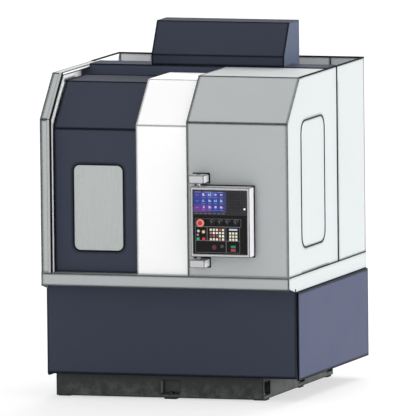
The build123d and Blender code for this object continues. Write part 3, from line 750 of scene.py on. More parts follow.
@dataclass(frozen=True)
class PlasticFinish(Finish):
    """Moulded plastic or rubber with a fine grain and a tinted band along its edges."""

    colour: Colour
    edge: Colour
    roughness: float = 0.4
    smoother: float = 0.06
    rougher: float = 0.08
    gloss: float = 0.45
    grain_scale: float = 1400.0
    grain_share: float = 0.3
    grain_height: float = 0.06 * MM
    deep_share: float = 0.88
    edge_share: float = 0.6
    edge_width: float = 0.8 * MM

    def draw(self, sketch: NodeSketch, shader: Inputs) -> None:
        """Grains the surface and tints its edges.

        Args:
            sketch: The material's nodes.
            shader: Inputs of its shader.
        """
        texture = sketch.effect(FineTexture, Grain_Scale=self.grain_scale, Cloud_Scale=30.0)
        plastic = sketch.mottle(texture.outputs["Tone"], self.colour, self.deep_share)
        edge = edge_mask(sketch, self.edge_width, sharpness=0.4, share=self.edge_share)
        sketch.feed(shader["Base Color"], sketch.blend(edge, plastic, linear(self.edge)))
        low, high = self.roughness - self.smoother, self.roughness + self.rougher
        sketch.feed(shader["Roughness"], sketch.spread(texture.outputs["Tone"], low, high))
        shader["Specular IOR Level"].default_value = self.gloss
        bump(sketch, shader, texture.outputs["Height"], self.grain_share, self.grain_height)


@dataclass(frozen=True)
class LitFinish(Finish):
    """A mark or a readout lit from behind, slightly uneven, over a dark glass."""

    colour: Colour
    glow: float = 0.75
    deep_share: float = 0.86
    dark_share: float = 0.75
    rough_range: Pair = (0.3, 0.42)
    gloss: float = 0.3

    def draw(self, sketch: NodeSketch, shader: Inputs) -> None:
        """Lets the colour glow and keeps a dark share of it for other light.

        Args:
            sketch: The material's nodes.
            shader: Inputs of its shader.
        """
        cloud = sketch.noise(sketch.spot(), 60.0)
        lit = sketch.mottle(cloud, self.colour, self.deep_share)
        sketch.feed(shader["Base Color"], sketch.blend(self.dark_share, lit, linear(GLASS_BLACK)))
        sketch.feed(shader["Emission Color"], lit)
        shader["Emission Strength"].default_value = self.glow
        sketch.feed(shader["Roughness"], sketch.spread(cloud, *self.rough_range))
        shader["Specular IOR Level"].default_value = self.gloss


@dataclass(frozen=True)
class ScreenFinish(Finish):
    """Lit display: a blue field with a light patch and a violet corner, under a faint pixel grid."""

    left: float
    right: float
    bottom: float
    top: float
    glow: float = 0.75
    upper: Colour = (56, 56, 138)
    lower: Colour = (34, 56, 142)
    patch: Colour = (84, 98, 172)
    corner: Colour = (100, 52, 138)
    dim_side: Colour = (56, 58, 114)
    grid: Colour = (16, 18, 60)
    grid_scale: float = 9000.0
    dark_share: float = 0.75
    gloss: float = 0.3

    def draw(self, sketch: NodeSketch, shader: Inputs) -> None:
        """Shades the field across and down and adds its pixel rows.

        Args:
            sketch: The material's nodes.
            shader: Inputs of its shader.
        """
        spot = sketch.spot()
        right, high = sketch.axis(spot, "X"), sketch.axis(spot, "Z")
        across = sketch.ramp(right, self.left, self.right)
        down = sketch.ramp(high, self.top, self.bottom)
        blue = sketch.blend(sketch.ramp(down, 0.05, 0.5), linear(self.upper), linear(self.lower))
        middle = sketch.sum("MULTIPLY", sketch.ramp(across, 0.15, 0.5), sketch.ramp(across, 0.9, 0.6))
        patch = sketch.sum("MULTIPLY", middle, sketch.ramp(down, 0.35, 0.0, 0.0, 0.8))
        lightened = sketch.blend(patch, blue, linear(self.patch))
        corner = sketch.sum("MULTIPLY", sketch.ramp(down, 0.6, 0.85), sketch.ramp(across, 0.8, 0.2))
        tinted = sketch.blend(corner, lightened, linear(self.corner))
        shaded = sketch.blend(sketch.ramp(across, 0.82, 1.0), tinted, linear(self.dim_side))
        rows = sketch.sum("SINE", sketch.sum("MULTIPLY", high, self.grid_scale))
        columns = sketch.sum("SINE", sketch.sum("MULTIPLY", right, self.grid_scale))
        grid = sketch.ramp(sketch.sum("MULTIPLY", rows, columns), -0.4, 0.4, 0.0, 0.12)
        lit = sketch.blend(grid, shaded, linear(self.grid))
        sketch.feed(shader["Base Color"], sketch.blend(self.dark_share, lit, linear(GLASS_BLACK)))
        sketch.feed(shader["Emission Color"], lit)
        shader["Emission Strength"].default_value = self.glow
        smear = sketch.noise(spot, 25.0, detail=4.0)
        sketch.feed(shader["Roughness"], sketch.ramp(smear, 0.35, 0.7, 0.16, 0.3))
        shader["Specular IOR Level"].default_value = self.gloss


@dataclass(frozen=True)
class PaneFinish(Finish):
    """Matted safety pane: light grey plastic with fine wipe marks under a clear skin."""

    colour: Colour
    rim: Colour = (214, 219, 219)
    rim_width: float = 4 * MM
    deep_share: float = 0.96
    rough_range: Pair = (0.22, 0.34)
    gloss: float = 0.4
    streak_share: float = 0.1
    streak_height: float = 0.1 * MM

    def draw(self, sketch: NodeSketch, shader: Inputs) -> None:
        """Marks the pane with faint wiped streaks.

        Args:
            sketch: The material's nodes.
            shader: Inputs of its shader.
        """
        wipe = sketch.effect(BrushedGrain, Along_X=40.0, Along_Y=40.0, Along_Z=5.0)
        pane = sketch.mottle(wipe.outputs["Tone"], self.colour, self.deep_share)
        rim = edge_mask(sketch, self.rim_width, sharpness=0.2, share=0.3)
        sketch.feed(shader["Base Color"], sketch.blend(rim, pane, linear(self.rim)))
        sketch.feed(shader["Roughness"], sketch.spread(wipe.outputs["Tone"], *self.rough_range))
        shader["Specular IOR Level"].default_value = self.gloss
        bump(sketch, shader, wipe.outputs["Height"], self.streak_share, self.streak_height)


@dataclass(frozen=True)
class FloorFinish(Finish):
    """Pale studio floor: near white to the camera, keeps a soft shadow, clear from below."""

    shadow_share: float = 0.4
    darker: Shade = (0.86, 0.86, 0.86, 1.0)
    lighter: Shade = (0.9, 0.9, 0.9, 1.0)
    roughness: float = 0.9
    gloss: float = 0.1

    def draw(self, sketch: NodeSketch, shader: Inputs) -> None:
        """Blends a lit floor with plain white for the rays that show it.

        Args:
            sketch: The material's nodes.
            shader: Inputs of its shader.
        """
        cloud = sketch.noise(sketch.spot(), 0.8, detail=3.0)
        sketch.feed(shader["Base Color"], sketch.blend(cloud, self.darker, self.lighter))
        shader["Roughness"].default_value = self.roughness
        shader["Specular IOR Level"].default_value = self.gloss
        white = sketch.add("ShaderNodeEmission")
        white.inputs["Color"].default_value = PLAIN_WHITE
        share = sketch.sum("MULTIPLY", sketch.seen(), 1 - self.shadow_share)
        top = sketch.layer(share, shader[0].node.outputs[0], white.outputs[0])
        clear = sketch.add("ShaderNodeBsdfTransparent")
        both = sketch.layer(sketch.surface("Backfacing"), top, clear.outputs[0])
        output = next(node for node in sketch.tree.nodes if node.type == "OUTPUT_MATERIAL")
        sketch.feed(output.inputs["Surface"], both)


PALE_PAINT = PaintFinish("pale_enamel", colour=(175, 179, 180), line=(20, 24, 25))
PALE_SEAM_PAINT = replace(PALE_PAINT, name="pale_enamel_heavy_seams", line_width=28 * MM)
PALE_STRIP_PAINT = replace(PALE_PAINT, name="pale_enamel_strip", line_share=0.15, line_width=4 * MM)
HOUSING_PAINT = PaintFinish("grey_housing_enamel", colour=(196, 196, 199), line=(26, 28, 30),
                            line_width=12 * MM, tone=0.03)
WHITE_PAINT = PaintFinish("white_enamel", colour=(254, 254, 254), line=(112, 114, 112), line_share=0.9,
                          line_width=18 * MM, tone=0.01)
# White lining: white paint on shaded inner faces, as painted light.
PAINTED_LIGHT_WHITE = PaintFinish("white_painted_light", colour=(246, 247, 247), line=(150, 152, 150), line_share=0.3,
                           line_width=2 * MM, tone=0.015)
# Pale lining: a near-white paint on the well's shaded rear, as painted light.
PAINTED_LIGHT_PALE = PaintFinish("pale_painted_light", colour=(242, 245, 245), line=(26, 28, 30), line_width=22 * MM)
# The dark paint's upward faces take painted shade, through its top share.
DARK_PAINT = PaintFinish("blue_grey_enamel", colour=(60, 65, 78), line=(10, 12, 20), gloss=0.04,
                         roughness=0.56, dust=(68, 72, 96), top_shade_share=0.62)
# The well cover's copy deepens its upward faces further, as painted shade.
WELL_SHADE_PAINT = replace(DARK_PAINT, name="blue_grey_enamel_well_painted_shade", dust=(60, 63, 72), top_shade_share=0.42)
# The roof's copy is lighter as painted light against its shade, and deeper on its upward faces as painted
# shade.
ROOF_LIGHT_AND_SHADE_PAINT = replace(DARK_PAINT, name="blue_grey_enamel_roof_painted_light_and_shade", colour=(82, 88, 106), dust=(72, 75, 86),
                     line_width=18 * MM, top_shade_share=0.49)
# The side skirts take a lighter copy of the dark paint, as painted light on faces that look sideways.
SKIRT_PAINTED_LIGHT = PaintFinish("blue_grey_enamel_sides_painted_light", colour=(70, 75, 96), line=(10, 12, 20), gloss=0.03,
                              dust=(72, 76, 92), foot=173 * MM)
# The hood's side sheets take a lighter copy of the paint, as painted light.
HOOD_PAINTED_LIGHT = replace(SKIRT_PAINTED_LIGHT, name="blue_grey_enamel_hood_painted_light", colour=(77, 85, 104),
                          line_width=20 * MM, dust=(80, 83, 96), foot=0.0)
GREY_PAINT = PaintFinish("grey_machine_paint", colour=(140, 146, 148), line=(40, 42, 44))
# The casting's sideways faces are paler, as painted light.
BED_CAST = CastFinish("charcoal_casting", colour=(42, 46, 46), line=(8, 9, 9), side_light_share=1.36)
# The pocket walls take a far paler copy, as painted light in the pockets' shade.
POCKET_PAINTED_LIGHT = replace(BED_CAST, name="charcoal_pocket_painted_light", colour=(76, 80, 80), side_light_share=4.0)
GROUND_STEEL = SteelFinish("ground_steel", colour=(170, 172, 175))
CHAMBER_STEEL = SteelFinish("stainless_sheet", colour=(186, 188, 190), roughness=0.4, metallic=0.85)
CHUCK_STEEL = SteelFinish("turned_steel", colour=(164, 166, 170), roughness=0.28, grain=(60.0, 60.0, 900.0))
DARK_STEEL = SteelFinish("blackened_steel", colour=(74, 74, 78), roughness=0.42, grain=(300.0, 300.0, 300.0))
INSERT_GOLD = SteelFinish("coated_insert", colour=(196, 156, 78), roughness=0.3, grain=(300.0, 300.0, 300.0))
SHOE_PLASTIC = PlasticFinish("black_wear_plastic", colour=(38, 38, 40), edge=(70, 70, 72), roughness=0.5)
RUBBER = PlasticFinish("black_rubber_seal", colour=(20, 21, 24), edge=(30, 31, 34), roughness=0.62,
                       gloss=0.03)
FASCIA_BLACK = PlasticFinish("black_fascia_foil", colour=(24, 23, 25), edge=(10, 10, 12), roughness=0.5,
                             gloss=0.12)
UNIT_BLACK = PlasticFinish("black_display_bezel", colour=(50, 49, 51), edge=(16, 16, 18), roughness=0.46,
                           gloss=0.15)
KEY_BLACK = PlasticFinish("dark_key_caps", colour=(38, 37, 44), edge=(14, 14, 18), gloss=0.2)
SOFT_KEY_GREY = PlasticFinish("soft_key_caps", colour=(92, 92, 98), edge=(30, 30, 32))
PRINT_GREY = PlasticFinish("printed_grey", colour=(132, 134, 138), edge=(132, 134, 138), roughness=0.5)
PRINT_WHITE = PlasticFinish("printed_white", colour=(236, 238, 238), edge=(236, 238, 238), roughness=0.5)
CAP_WHITE = PlasticFinish("white_caps", colour=(246, 247, 247), edge=(150, 150, 150), roughness=0.35)
KEY_CREAM = PlasticFinish("cream_key_caps", colour=(240, 235, 215), edge=(120, 112, 90))
KEY_RED = PlasticFinish("red_key_caps", colour=(214, 84, 92), edge=(100, 20, 30))
KEY_ROSE = PlasticFinish("rose_key_caps", colour=(200, 122, 120), edge=(100, 40, 44))
KEY_OLIVE = PlasticFinish("olive_key_caps", colour=(90, 84, 70), edge=(40, 36, 26))
# The stop head's rose colour is a painted highlight on red plastic.
STOP_HIGHLIGHT_ROSE = PlasticFinish("stop_head_painted_highlight", colour=(226, 138, 118), edge=(150, 40, 50), roughness=0.36)
STOP_RED = PlasticFinish("stop_centre_plastic", colour=(196, 36, 52), edge=(110, 10, 24), roughness=0.34)
BEZEL_GREY = PlasticFinish("lamp_bezel_plastic", colour=(62, 61, 64), edge=(24, 24, 26))
ICON_WHITE = LitFinish("screen_white", colour=(188, 200, 248), glow=0.66)
ICON_CYAN = LitFinish("screen_cyan", colour=(146, 188, 246), glow=0.66)
ICON_LILAC = LitFinish("screen_lilac", colour=(206, 186, 242), glow=0.66)
ICON_DIM = LitFinish("screen_dim", colour=(132, 140, 206))
READOUT_PALE = LitFinish("readout_face", colour=(215, 228, 245), glow=0.6)
PANE = PaneFinish("matted_pane", colour=(181, 185, 184))


NODE_FINISHES: dict[Finish, tuple[str, ...]] = {
    PALE_PAINT: ("front_deck_rail", "side_deck_rails", "rear_deck_rail", "right_side_wall", "left_rear_wall",
                 "right_rear_wall", "rear_wall_panel", "access_hatches", "control_side_cover"),
    PALE_SEAM_PAINT: ("left_side_wall",),
    # The brackets take the housing's lighter grey, as painted light on their sides.
    HOUSING_PAINT: ("operator_panel_housing", "panel_brackets"),
    WHITE_PAINT: ("centre_cover",),
    DARK_PAINT: ("front_skirt", "rear_skirt", "column_hood", "door_leaf"),
    WELL_SHADE_PAINT: ("well_cover",),
    ROOF_LIGHT_AND_SHADE_PAINT: ("roof_panel",),
    SKIRT_PAINTED_LIGHT: ("side_skirts",),
    BED_CAST: ("bed_casting",),
    GROUND_STEEL: ("door_rails", "panel_hinge_pins"),
    CHAMBER_STEEL: ("splash_deck", "chamber_rear_wall", "way_covers"),
    GREY_PAINT: ("spindle_housing", "cross_slide", "ram"),
    CHUCK_STEEL: ("chuck_body", "chuck_jaws", "tool_turret", "tool_holders"),
    SHOE_PLASTIC: ("door_shoes",),
    PANE: ("door_window",),
    RUBBER: ("window_gasket", "levelling_feet"),
    FASCIA_BLACK: ("operator_fascia",),
    UNIT_BLACK: ("control_unit",),
}


def dress(node: bpy.types.Object, finish: Finish) -> None:
    """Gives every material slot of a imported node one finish.

    Args:
        node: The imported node's object.
        finish: What it is finished in.
    """
    material = finish.material()
    if not node.material_slots:
        node.data.materials.append(material)
    for slot in node.material_slots:
        slot.material = material


class Piece:
    """Mesh work for one named piece, from its first face to its place on a body."""

    def __init__(self, name: str) -> None:
        """Starts an empty mesh under the piece's name."""
        self.name = name
        self.mesh = bmesh.new()

    def stack(self, levels: Sequence[tuple[Outline, float]], place: Matrix, open_ring: bool = False) -> None:
        """Joins outlines at given heights by side faces.

        Args:
            levels: Outlines with as many points each, and their heights.
            place: Where the stack stands and which way it rises.
            open_ring: Joins the last outline to the first, as for a washer, instead of closing both ends.
        """
        rings = [[self.mesh.verts.new(place @ Vector((x, y, height))) for x, y in outline]
                 for outline, height in levels]
        pairs = list(zip(rings, rings[1:]))
        if open_ring:
            pairs.append((rings[-1], rings[0]))
        for lower, upper in pairs:
            for index, corner in enumerate(lower):
                after = (index + 1) % len(lower)
                self.mesh.faces.new((corner, lower[after], upper[after], upper[index]))
        if not open_ring:
            self.mesh.faces.new(rings[0][::-1])
            self.mesh.faces.new(rings[-1])

    def turned(self, profile: Sequence[Pair], place: Matrix, steps: int = 32, open_ring: bool = False,
               scale: Pair = (1.0, 1.0)) -> None:
        """Turns a profile of radius and height, times the scale, about the place's own upward axis."""
        levels = [(circle_outline(radius * scale[0], steps), height * scale[1]) for radius, height in profile]
        self.stack(levels, place, open_ring)

    def block(self, width: float, depth: float, height: float, place: Matrix, bevel: float) -> None:
        """Adds a block that stands on its place, with round upright edges and a bevelled top.

        Args:
            width: Size along the place's first axis.
            depth: Size along its second axis.
            height: Size along its upward axis.
            place: Where the block stands and which way it rises.
            bevel: Width of the bevel and radius of the upright edges.
        """
        foot = rounded_outline(width, depth, bevel, steps=2)
        crown = rounded_outline(width - 2 * bevel, depth - 2 * bevel, bevel / 2, steps=2)
        self.stack([(foot, 0.0), (foot, height - bevel), (crown, height)], place)

    def plate(self, outline: Outline, height: float, place: Matrix) -> None:
        """Adds a flat plate of any outline that stands on its place."""
        self.stack([(outline, 0.0), (outline, height)], place)

    def frame(self, outer: Outline, inner: Outline, height: float, place: Matrix) -> None:
        """Adds a flat frame between two outlines."""
        self.stack([(outer, 0.0), (outer, height), (inner, height), (inner, 0.0)], place, open_ring=True)

    def screw(self, radius: float, height: float, place: Matrix) -> None:
        """Adds a round screw head with a hexagon socket.

        Args:
            radius: Radius of the head.
            height: Height of the head.
            place: Where the head stands and which way it rises.
        """
        bevel = radius * 0.15
        rim, socket = circle_outline(radius), circle_outline(radius * 0.5, sides=6)
        self.stack([(rim, 0.0), (rim, height - bevel), (circle_outline(radius - bevel), height),
                    (socket, height), (socket, height * 0.4)], place)

    def settle(self, finish: Finish, body: str, slot: Slot, replaces: Sequence[str] = ()) -> None:
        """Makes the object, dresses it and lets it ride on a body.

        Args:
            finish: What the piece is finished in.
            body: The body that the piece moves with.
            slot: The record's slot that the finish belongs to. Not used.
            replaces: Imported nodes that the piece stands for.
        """
        bmesh.ops.recalc_face_normals(self.mesh, faces=self.mesh.faces)
        mesh = bpy.data.meshes.new(self.name)
        self.mesh.to_mesh(mesh)
        self.mesh.free()
        mesh.shade_smooth()
        mesh.set_sharp_from_angle(angle=SMOOTH_ANGLE)
        mesh.materials.append(finish.material())
        piece = bpy.data.objects.new(self.name, mesh)
        bpy.context.scene.collection.objects.link(piece)
        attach(piece, body)
        if replaces:
            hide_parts(*replaces)
        LOG.info("made %s on %s in %s", self.name, body, finish.name)


@dataclass(frozen=True)
class Block:
    """Lowest and highest corners of one solid."""

    low: Vector
    high: Vector

    @property
    def middle(self) -> Vector:
        """Gives the middle of the block."""
        return (self.low + self.high) / 2

    @property
    def size(self) -> Vector:
        """Gives the block's width, depth and height."""
        return self.high - self.low

    def seat(self) -> Matrix:
        """Gives the place of a fitting that stands on the block's back face and looks to the front."""
        return placed((self.middle.x, self.high.y, self.middle.z), Facing.FRONT)


def node_block(name: str) -> Block:
    """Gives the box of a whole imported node."""
    return Block(*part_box(name))


def solid_blocks(node: bpy.types.Object) -> list[Block]:
    """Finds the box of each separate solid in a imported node.

    Args:
        node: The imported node's object.

    Returns:
        Boxes from the top row down, and from the left within a row.
    """
    mesh = bmesh.new()
    mesh.from_mesh(node.data)
    bmesh.ops.remove_doubles(mesh, verts=mesh.verts, dist=WELD_DISTANCE)
    waiting = set(mesh.verts)
    blocks = []
    while waiting:
        reached = [waiting.pop()]
        for vert in reached:
            for edge in vert.link_edges:
                other = edge.other_vert(vert)
                if other in waiting:
                    waiting.remove(other)
                    reached.append(other)
        low = Vector([min(vert.co[axis] for vert in reached) for axis in range(3)])
        high = Vector([max(vert.co[axis] for vert in reached) for axis in range(3)])
        blocks.append(Block(low, high))
    mesh.free()
    return sorted(blocks, key=lambda block: (-round(block.middle.z, 3), block.middle.x))


class Icon(Enum):
    """Plain picture marks on the display, as outlines in millimetres about their own middle."""

    ARROW = (((-9, -3), (0, -3), (0, -8), (9, 0), (0, 8), (0, 3), (-9, 3)),)
    BACK_ARROW = (((9, -3), (9, 3), (0, 3), (0, 8), (-9, 0), (0, -8), (0, -3)),)
    STEPS = (((-10, -7), (-2, -7), (-2, 5), (-10, 5)), ((0, -7), (9, -7), (9, -1), (0, -1)),
             ((2, 1), (9, 1), (9, 7), (2, 7)))
    SHEET = (((-8, -8), (6, -8), (6, 3), (1, 8), (-8, 8)), ((8, -8), (10, -8), (10, 0), (8, 0)))
    BARS = (((-10, -7), (-6, -7), (-6, 2), (-10, 2)), ((-4, -7), (1, -7), (1, 7), (-4, 7)),
            ((3, -7), (9, -7), (9, -2), (3, -2)))
    WEDGE = (((-9, -7), (9, -7), (9, 0), (-2, 7), (-9, 7)),)
    WHEEL = (((-8, 0), (-6, -6), (0, -8), (6, -6), (8, 0), (6, 6), (0, 8), (-6, 6)),)
    DROP = (((-6, -8), (4, -8), (8, 0), (4, 8), (-3, 8), (-1, 1)),)


def coloured_lamp(tint: str, colour: Colour, edge: Colour) -> tuple[str, Finish]:
    """Gives the name of a lamp and the finish of its lens."""
    return f"{tint}_lamp", PlasticFinish(f"{tint}_lens", colour=colour, edge=edge, roughness=0.2)


class Lamp(Enum):
    """Fittings of the lower panel, as name and finish, in the order of their places from the top down."""

    CLEAR = coloured_lamp("clear", (206, 212, 208), (110, 112, 110))
    AMBER = coloured_lamp("amber", (240, 204, 134), (170, 120, 60))
    ROSE = coloured_lamp("rose", (196, 152, 150), (110, 60, 70))
    GREEN = coloured_lamp("green", (58, 164, 122), (16, 70, 50))
    RED = coloured_lamp("red", (214, 46, 58), (110, 10, 24))
    KEY = "key_switch", SteelFinish("plated_lock", colour=(118, 112, 108), grain=(200.0, 200.0, 200.0))
    START = "start_button", PlasticFinish("green_button", colour=(42, 126, 90), edge=(14, 70, 46))
    WINE = coloured_lamp("wine", (104, 14, 36), (60, 6, 20))
    STOP = "stop_button", PlasticFinish("red_button", colour=(172, 50, 76), edge=(96, 14, 34))


class KeyTint(Enum):
    """Finishes of the mode keys, under their letters in the map of the keys."""

    C = KEY_CREAM
    W = CAP_WHITE
    R = KEY_RED
    P = KEY_ROSE
    D = KEY_OLIVE


@dataclass
class OperatorPanel:
    """Display, keys, lamps, dials and printed frames on the swinging panel.

    Rows, columns, places, titles and frames are millimetres from the fascia's top left corner. Sizes of keys
    and printed bars are millimetres too, profiles are shares of a fitting's radius and height, and all other
    lengths are metres.
    """

    nodes: Nodes
    body: str = "operator_panel"
    skin: float = 0.4 * MM
    skin_bevel: float = 0.1 * MM
    key_corner: float = 1.6 * MM
    keypad_crown: float = 1.2 * MM
    key_crown: float = 2.2 * MM
    button_crown: float = 2 * MM
    mode_keys: str = "CCCRC" "PWCCC" "DRDCW" "CCCPC"
    mode_gap: float = 8 * MM
    collar_profile: Pairs = ((0.66, 0), (0.66, 0.3), (0.6, 0.46))
    head_profile: Pairs = ((0.7, 0.43), (1, 0.5), (1, 0.68), (0.94, 0.8), (0.72, 0.93), (0.6, 0.94),
                           (0.56, 0.88), (0.05, 0.88))
    centre_profile: Pairs = ((0.52, 0.88), (0.52, 0.96), (0.44, 1), (0.05, 1))
    knob_profile: Pairs = ((1, 0), (1, 0.2), (0.84, 0.55), (0.76, 0.6), (0.1, 0.6))
    lens_profile: Pairs = ((1, 0), (1, 0.55), (0.86, 0.8), (0.5, 0.96), (0.05, 1))
    lens_rise: float = 10 * MM
    bezel_width: float = 2.6 * MM
    line_width: float = 1.7 * MM
    scale_radius: float = 21.5 * MM
    scale_width: float = 2 * MM
    scale_ends: Pair = (25, 155)
    icon_rows: tuple[float, ...] = (34, 81, 130)
    icon_columns: tuple[float, ...] = (87, 137, 184, 230)
    label_column: float = 36
    label_drop: float = 23
    label_bars: Pairs = ((30, 3), (26, 3))
    icon_scale: float = 1.25
    title_row: float = 15
    title_height: float = 4.5
    titles: Pairs = ((42, 48), (118, 66), (222, 44))
    soft_key_row: float = 180
    soft_key_start: float = 29
    soft_key_pitch: float = 36
    soft_key_count: int = 7
    soft_key_size: Triple = (27, 9, 1.6)
    port_place: Pair = (417, 141)
    print_frames: tuple[tuple[float, float, float, float], ...] = (
        (18, 220, 387, 282), (18, 282, 113, 390), (113, 282, 257, 390), (265, 282, 376, 390),
        (18, 390, 265, 482), (265, 390, 376, 482))

    def build(self) -> None:
        """Makes every fitting of the panel."""
        fascia, unit = node_block("operator_fascia"), node_block("control_unit")
        self.corner = Vector((fascia.low.x, fascia.low.y, fascia.high.z))
        self.unit_rise = fascia.low.y - unit.low.y
        self.display()
        self.soft_keys()
        self.port_cap()
        self.data_keys()
        self.key_caps()
        self.stop_button()
        self.dials()
        self.lamps()
        self.printed_frames()

    def spot(self, right: float, down: float, rise: float = 0.0) -> Matrix:
        """Gives a place on the fascia.

        Args:
            right: Millimetres from the fascia's left edge.
            down: Millimetres from its top edge.
            rise: Metres in front of it.

        Returns:
            The place, with its own upward axis towards the operator.
        """
        offset = Vector((right * MM, -rise, -down * MM))
        return placed(self.corner + offset, Facing.FRONT)

    def bar(self, piece: Piece, width: float, height: float, place: Matrix) -> None:
        """Adds one thin printed bar, with its size in millimetres."""
        piece.block(width * MM, height * MM, self.skin, place, self.skin_bevel)

    def display(self) -> None:
        """Lights the display and adds the icons, labels and title bars that it shows."""
        screen = node_block("display_screen")
        glass = self.corner.y - screen.low.y
        lit = ScreenFinish("lit_display", left=screen.low.x, right=screen.high.x, bottom=screen.low.z,
                           top=screen.high.z)
        dress(self.nodes["display_screen"], lit)
        rows = (
            (ICON_WHITE, (Icon.SHEET, Icon.STEPS, Icon.ARROW, Icon.BACK_ARROW)),
            (ICON_CYAN, (Icon.BARS, Icon.WEDGE, Icon.STEPS, Icon.SHEET)),
            (ICON_LILAC, (Icon.DROP, Icon.SHEET, Icon.WHEEL, Icon.WEDGE)),
        )
        icon_bar, row_bar = self.label_bars
        labels = Piece("screen_labels")
        for down, (finish, icons) in zip(self.icon_rows, rows):
            marks = Piece(f"screen_icons_{finish.name}")
            for right, icon in zip(self.icon_columns, icons):
                for outline in icon.value:
                    shape = [(x * self.icon_scale * MM, y * self.icon_scale * MM) for x, y in outline]
                    marks.plate(shape, self.skin, self.spot(right, down, glass))
                self.bar(labels, *icon_bar, self.spot(right, down + self.label_drop, glass))
            self.bar(labels, *row_bar, self.spot(self.label_column, down + 4, glass))
            marks.settle(finish, self.body, Slot.SCREEN)
        for right, width in self.titles:
            self.bar(labels, width, self.title_height, self.spot(right, self.title_row, glass))
        labels.settle(ICON_DIM, self.body, Slot.SCREEN)

    def soft_keys(self) -> None:
        """Adds the row of flat keys under the display."""
        keys = Piece("soft_keys")
        for index in range(self.soft_key_count):
            right = self.soft_key_start + self.soft_key_pitch * index
            place = self.spot(right, self.soft_key_row, self.unit_rise)
            keys.block(*(size * MM for size in self.soft_key_size), place, 0.8 * MM)
        keys.settle(SOFT_KEY_GREY, self.body, Slot.FASCIA)

    def port_cap(self) -> None:
        """Adds the round white cap beside the display."""
        cap = Piece("white_port_cap")
        cap.turned([(8.5 * MM, 0), (8.5 * MM, 2 * MM), (7 * MM, 3 * MM), (1 * MM, 3.2 * MM)],
                   self.spot(*self.port_place, self.unit_rise))
        cap.settle(CAP_WHITE, self.body, Slot.CREAM)

    def data_keys(self) -> None:
        """Replaces the keypad by crowned keys with a plain mark each."""
        caps = Piece("keypad_caps")
        marks = Piece("keypad_marks")
        for index, key in enumerate(solid_blocks(self.nodes["data_keys"])):
            self.cap(caps, key, self.keypad_crown)
            mark = key.seat() @ Matrix.Translation((0, 1.5 * MM, key.size.y * 0.95))
            self.bar(marks, 4 + 2 * (index % 3), 1.6, mark)
        caps.settle(KEY_BLACK, self.body, Slot.FASCIA, ["data_keys"])
        marks.settle(PRINT_GREY, self.body, Slot.FASCIA)

    def cap(self, caps: Piece, key: Block, crown: float) -> None:
        """Adds one key cap with sloped sides and a slightly hollowed top.

        Args:
            caps: Piece that the cap goes into.
            key: Box of the key.
            crown: How far the top is drawn in on each side.
        """
        width, height, rise = key.size.x, key.size.z, key.size.y
        corner = self.key_corner
        levels = []
        for inset, level in ((0.0, 0.0), (0.0, rise * 0.4), (crown, rise), (crown * 2, rise * 0.95)):
            levels.append((rounded_outline(width - 2 * inset, height - 2 * inset, corner, steps=3), level))
        caps.stack(levels, key.seat())

    def key_caps(self) -> None:
        """Replaces the pale keys and the readout, each in its own colour."""
        keys = solid_blocks(self.nodes["function_keys"])
        readout = max(keys, key=lambda key: key.size.x)
        middle = readout.low.x - self.mode_gap
        mode_keys = [key for key in keys if key.middle.x < middle]
        axis_keys = [key for key in keys if key.middle.x > middle and key is not readout]
        groups = {tint: Piece(f"mode_keys_{tint.value.name}") for tint in KeyTint}
        for letter, key in zip(self.mode_keys, mode_keys):
            self.cap(groups[KeyTint[letter]], key, self.key_crown)
        for key in axis_keys:
            self.cap(groups[KeyTint.C], key, self.key_crown)
        for tint, group in groups.items():
            group.settle(tint.value, self.body, Slot.CREAM, ["function_keys"])
        glass = Piece("readout_glass")
        glass.block(readout.size.x, readout.size.z, readout.size.y, readout.seat(), 1 * MM)
        glass.settle(READOUT_PALE, self.body, Slot.CREAM, ["function_keys"])

    def stop_button(self) -> None:
        """Replaces the emergency stop by a mushroom head on a collar, with a pressed centre. The head's rose
        colour is a painted highlight on its red plastic.
        """
        button = node_block("emergency_stop")
        seat, scale = button.seat(), (button.size.x / 2, button.size.y)
        collar = Piece("stop_collar")
        collar.turned(self.collar_profile, seat, steps=40, scale=scale)
        collar.settle(FASCIA_BLACK, self.body, Slot.FASCIA, ["emergency_stop"])
        head = Piece("stop_head")
        head.turned(self.head_profile, seat, steps=48, scale=scale)
        head.settle(STOP_HIGHLIGHT_ROSE, self.body, Slot.RED, ["emergency_stop"])
        centre = Piece("stop_centre")
        centre.turned(self.centre_profile, seat, steps=40, scale=scale)
        centre.settle(STOP_RED, self.body, Slot.RED, ["emergency_stop"])

    def dials(self) -> None:
        """Replaces the selectors by turned knobs with a grip, a pointer and a printed scale."""
        knobs = Piece("selector_knobs")
        pointers = Piece("selector_pointers")
        scales = Piece("selector_scales")
        for dial in solid_blocks(self.nodes["selector_dials"]):
            radius, rise = dial.size.x / 2, dial.size.y
            knobs.turned(self.knob_profile, dial.seat(), scale=(radius, rise))
            knobs.block(radius * 0.5, radius * 1.7, rise, dial.seat(), 1.5 * MM)
            pointer = dial.seat() @ Matrix.Translation((0, radius * 0.45, rise - self.skin / 2))
            pointers.block(1.6 * MM, radius * 0.7, self.skin, pointer, self.skin_bevel)
            outline = arc_outline(self.scale_radius, self.scale_radius + self.scale_width, *self.scale_ends)
            scales.plate(outline, self.skin, dial.seat())
            for angle in range(20, 161, 20):
                turn = Matrix.Rotation(math.radians(angle - 90), 4, "Z")
                tick = dial.seat() @ turn @ Matrix.Translation((0, self.scale_radius + 3.2 * MM, 0))
                self.bar(scales, 1, 3, tick)
        knobs.settle(KEY_BLACK, self.body, Slot.FASCIA, ["selector_dials"])
        pointers.settle(PRINT_WHITE, self.body, Slot.FASCIA, ["selector_dials"])
        scales.settle(PRINT_GREY, self.body, Slot.FASCIA)

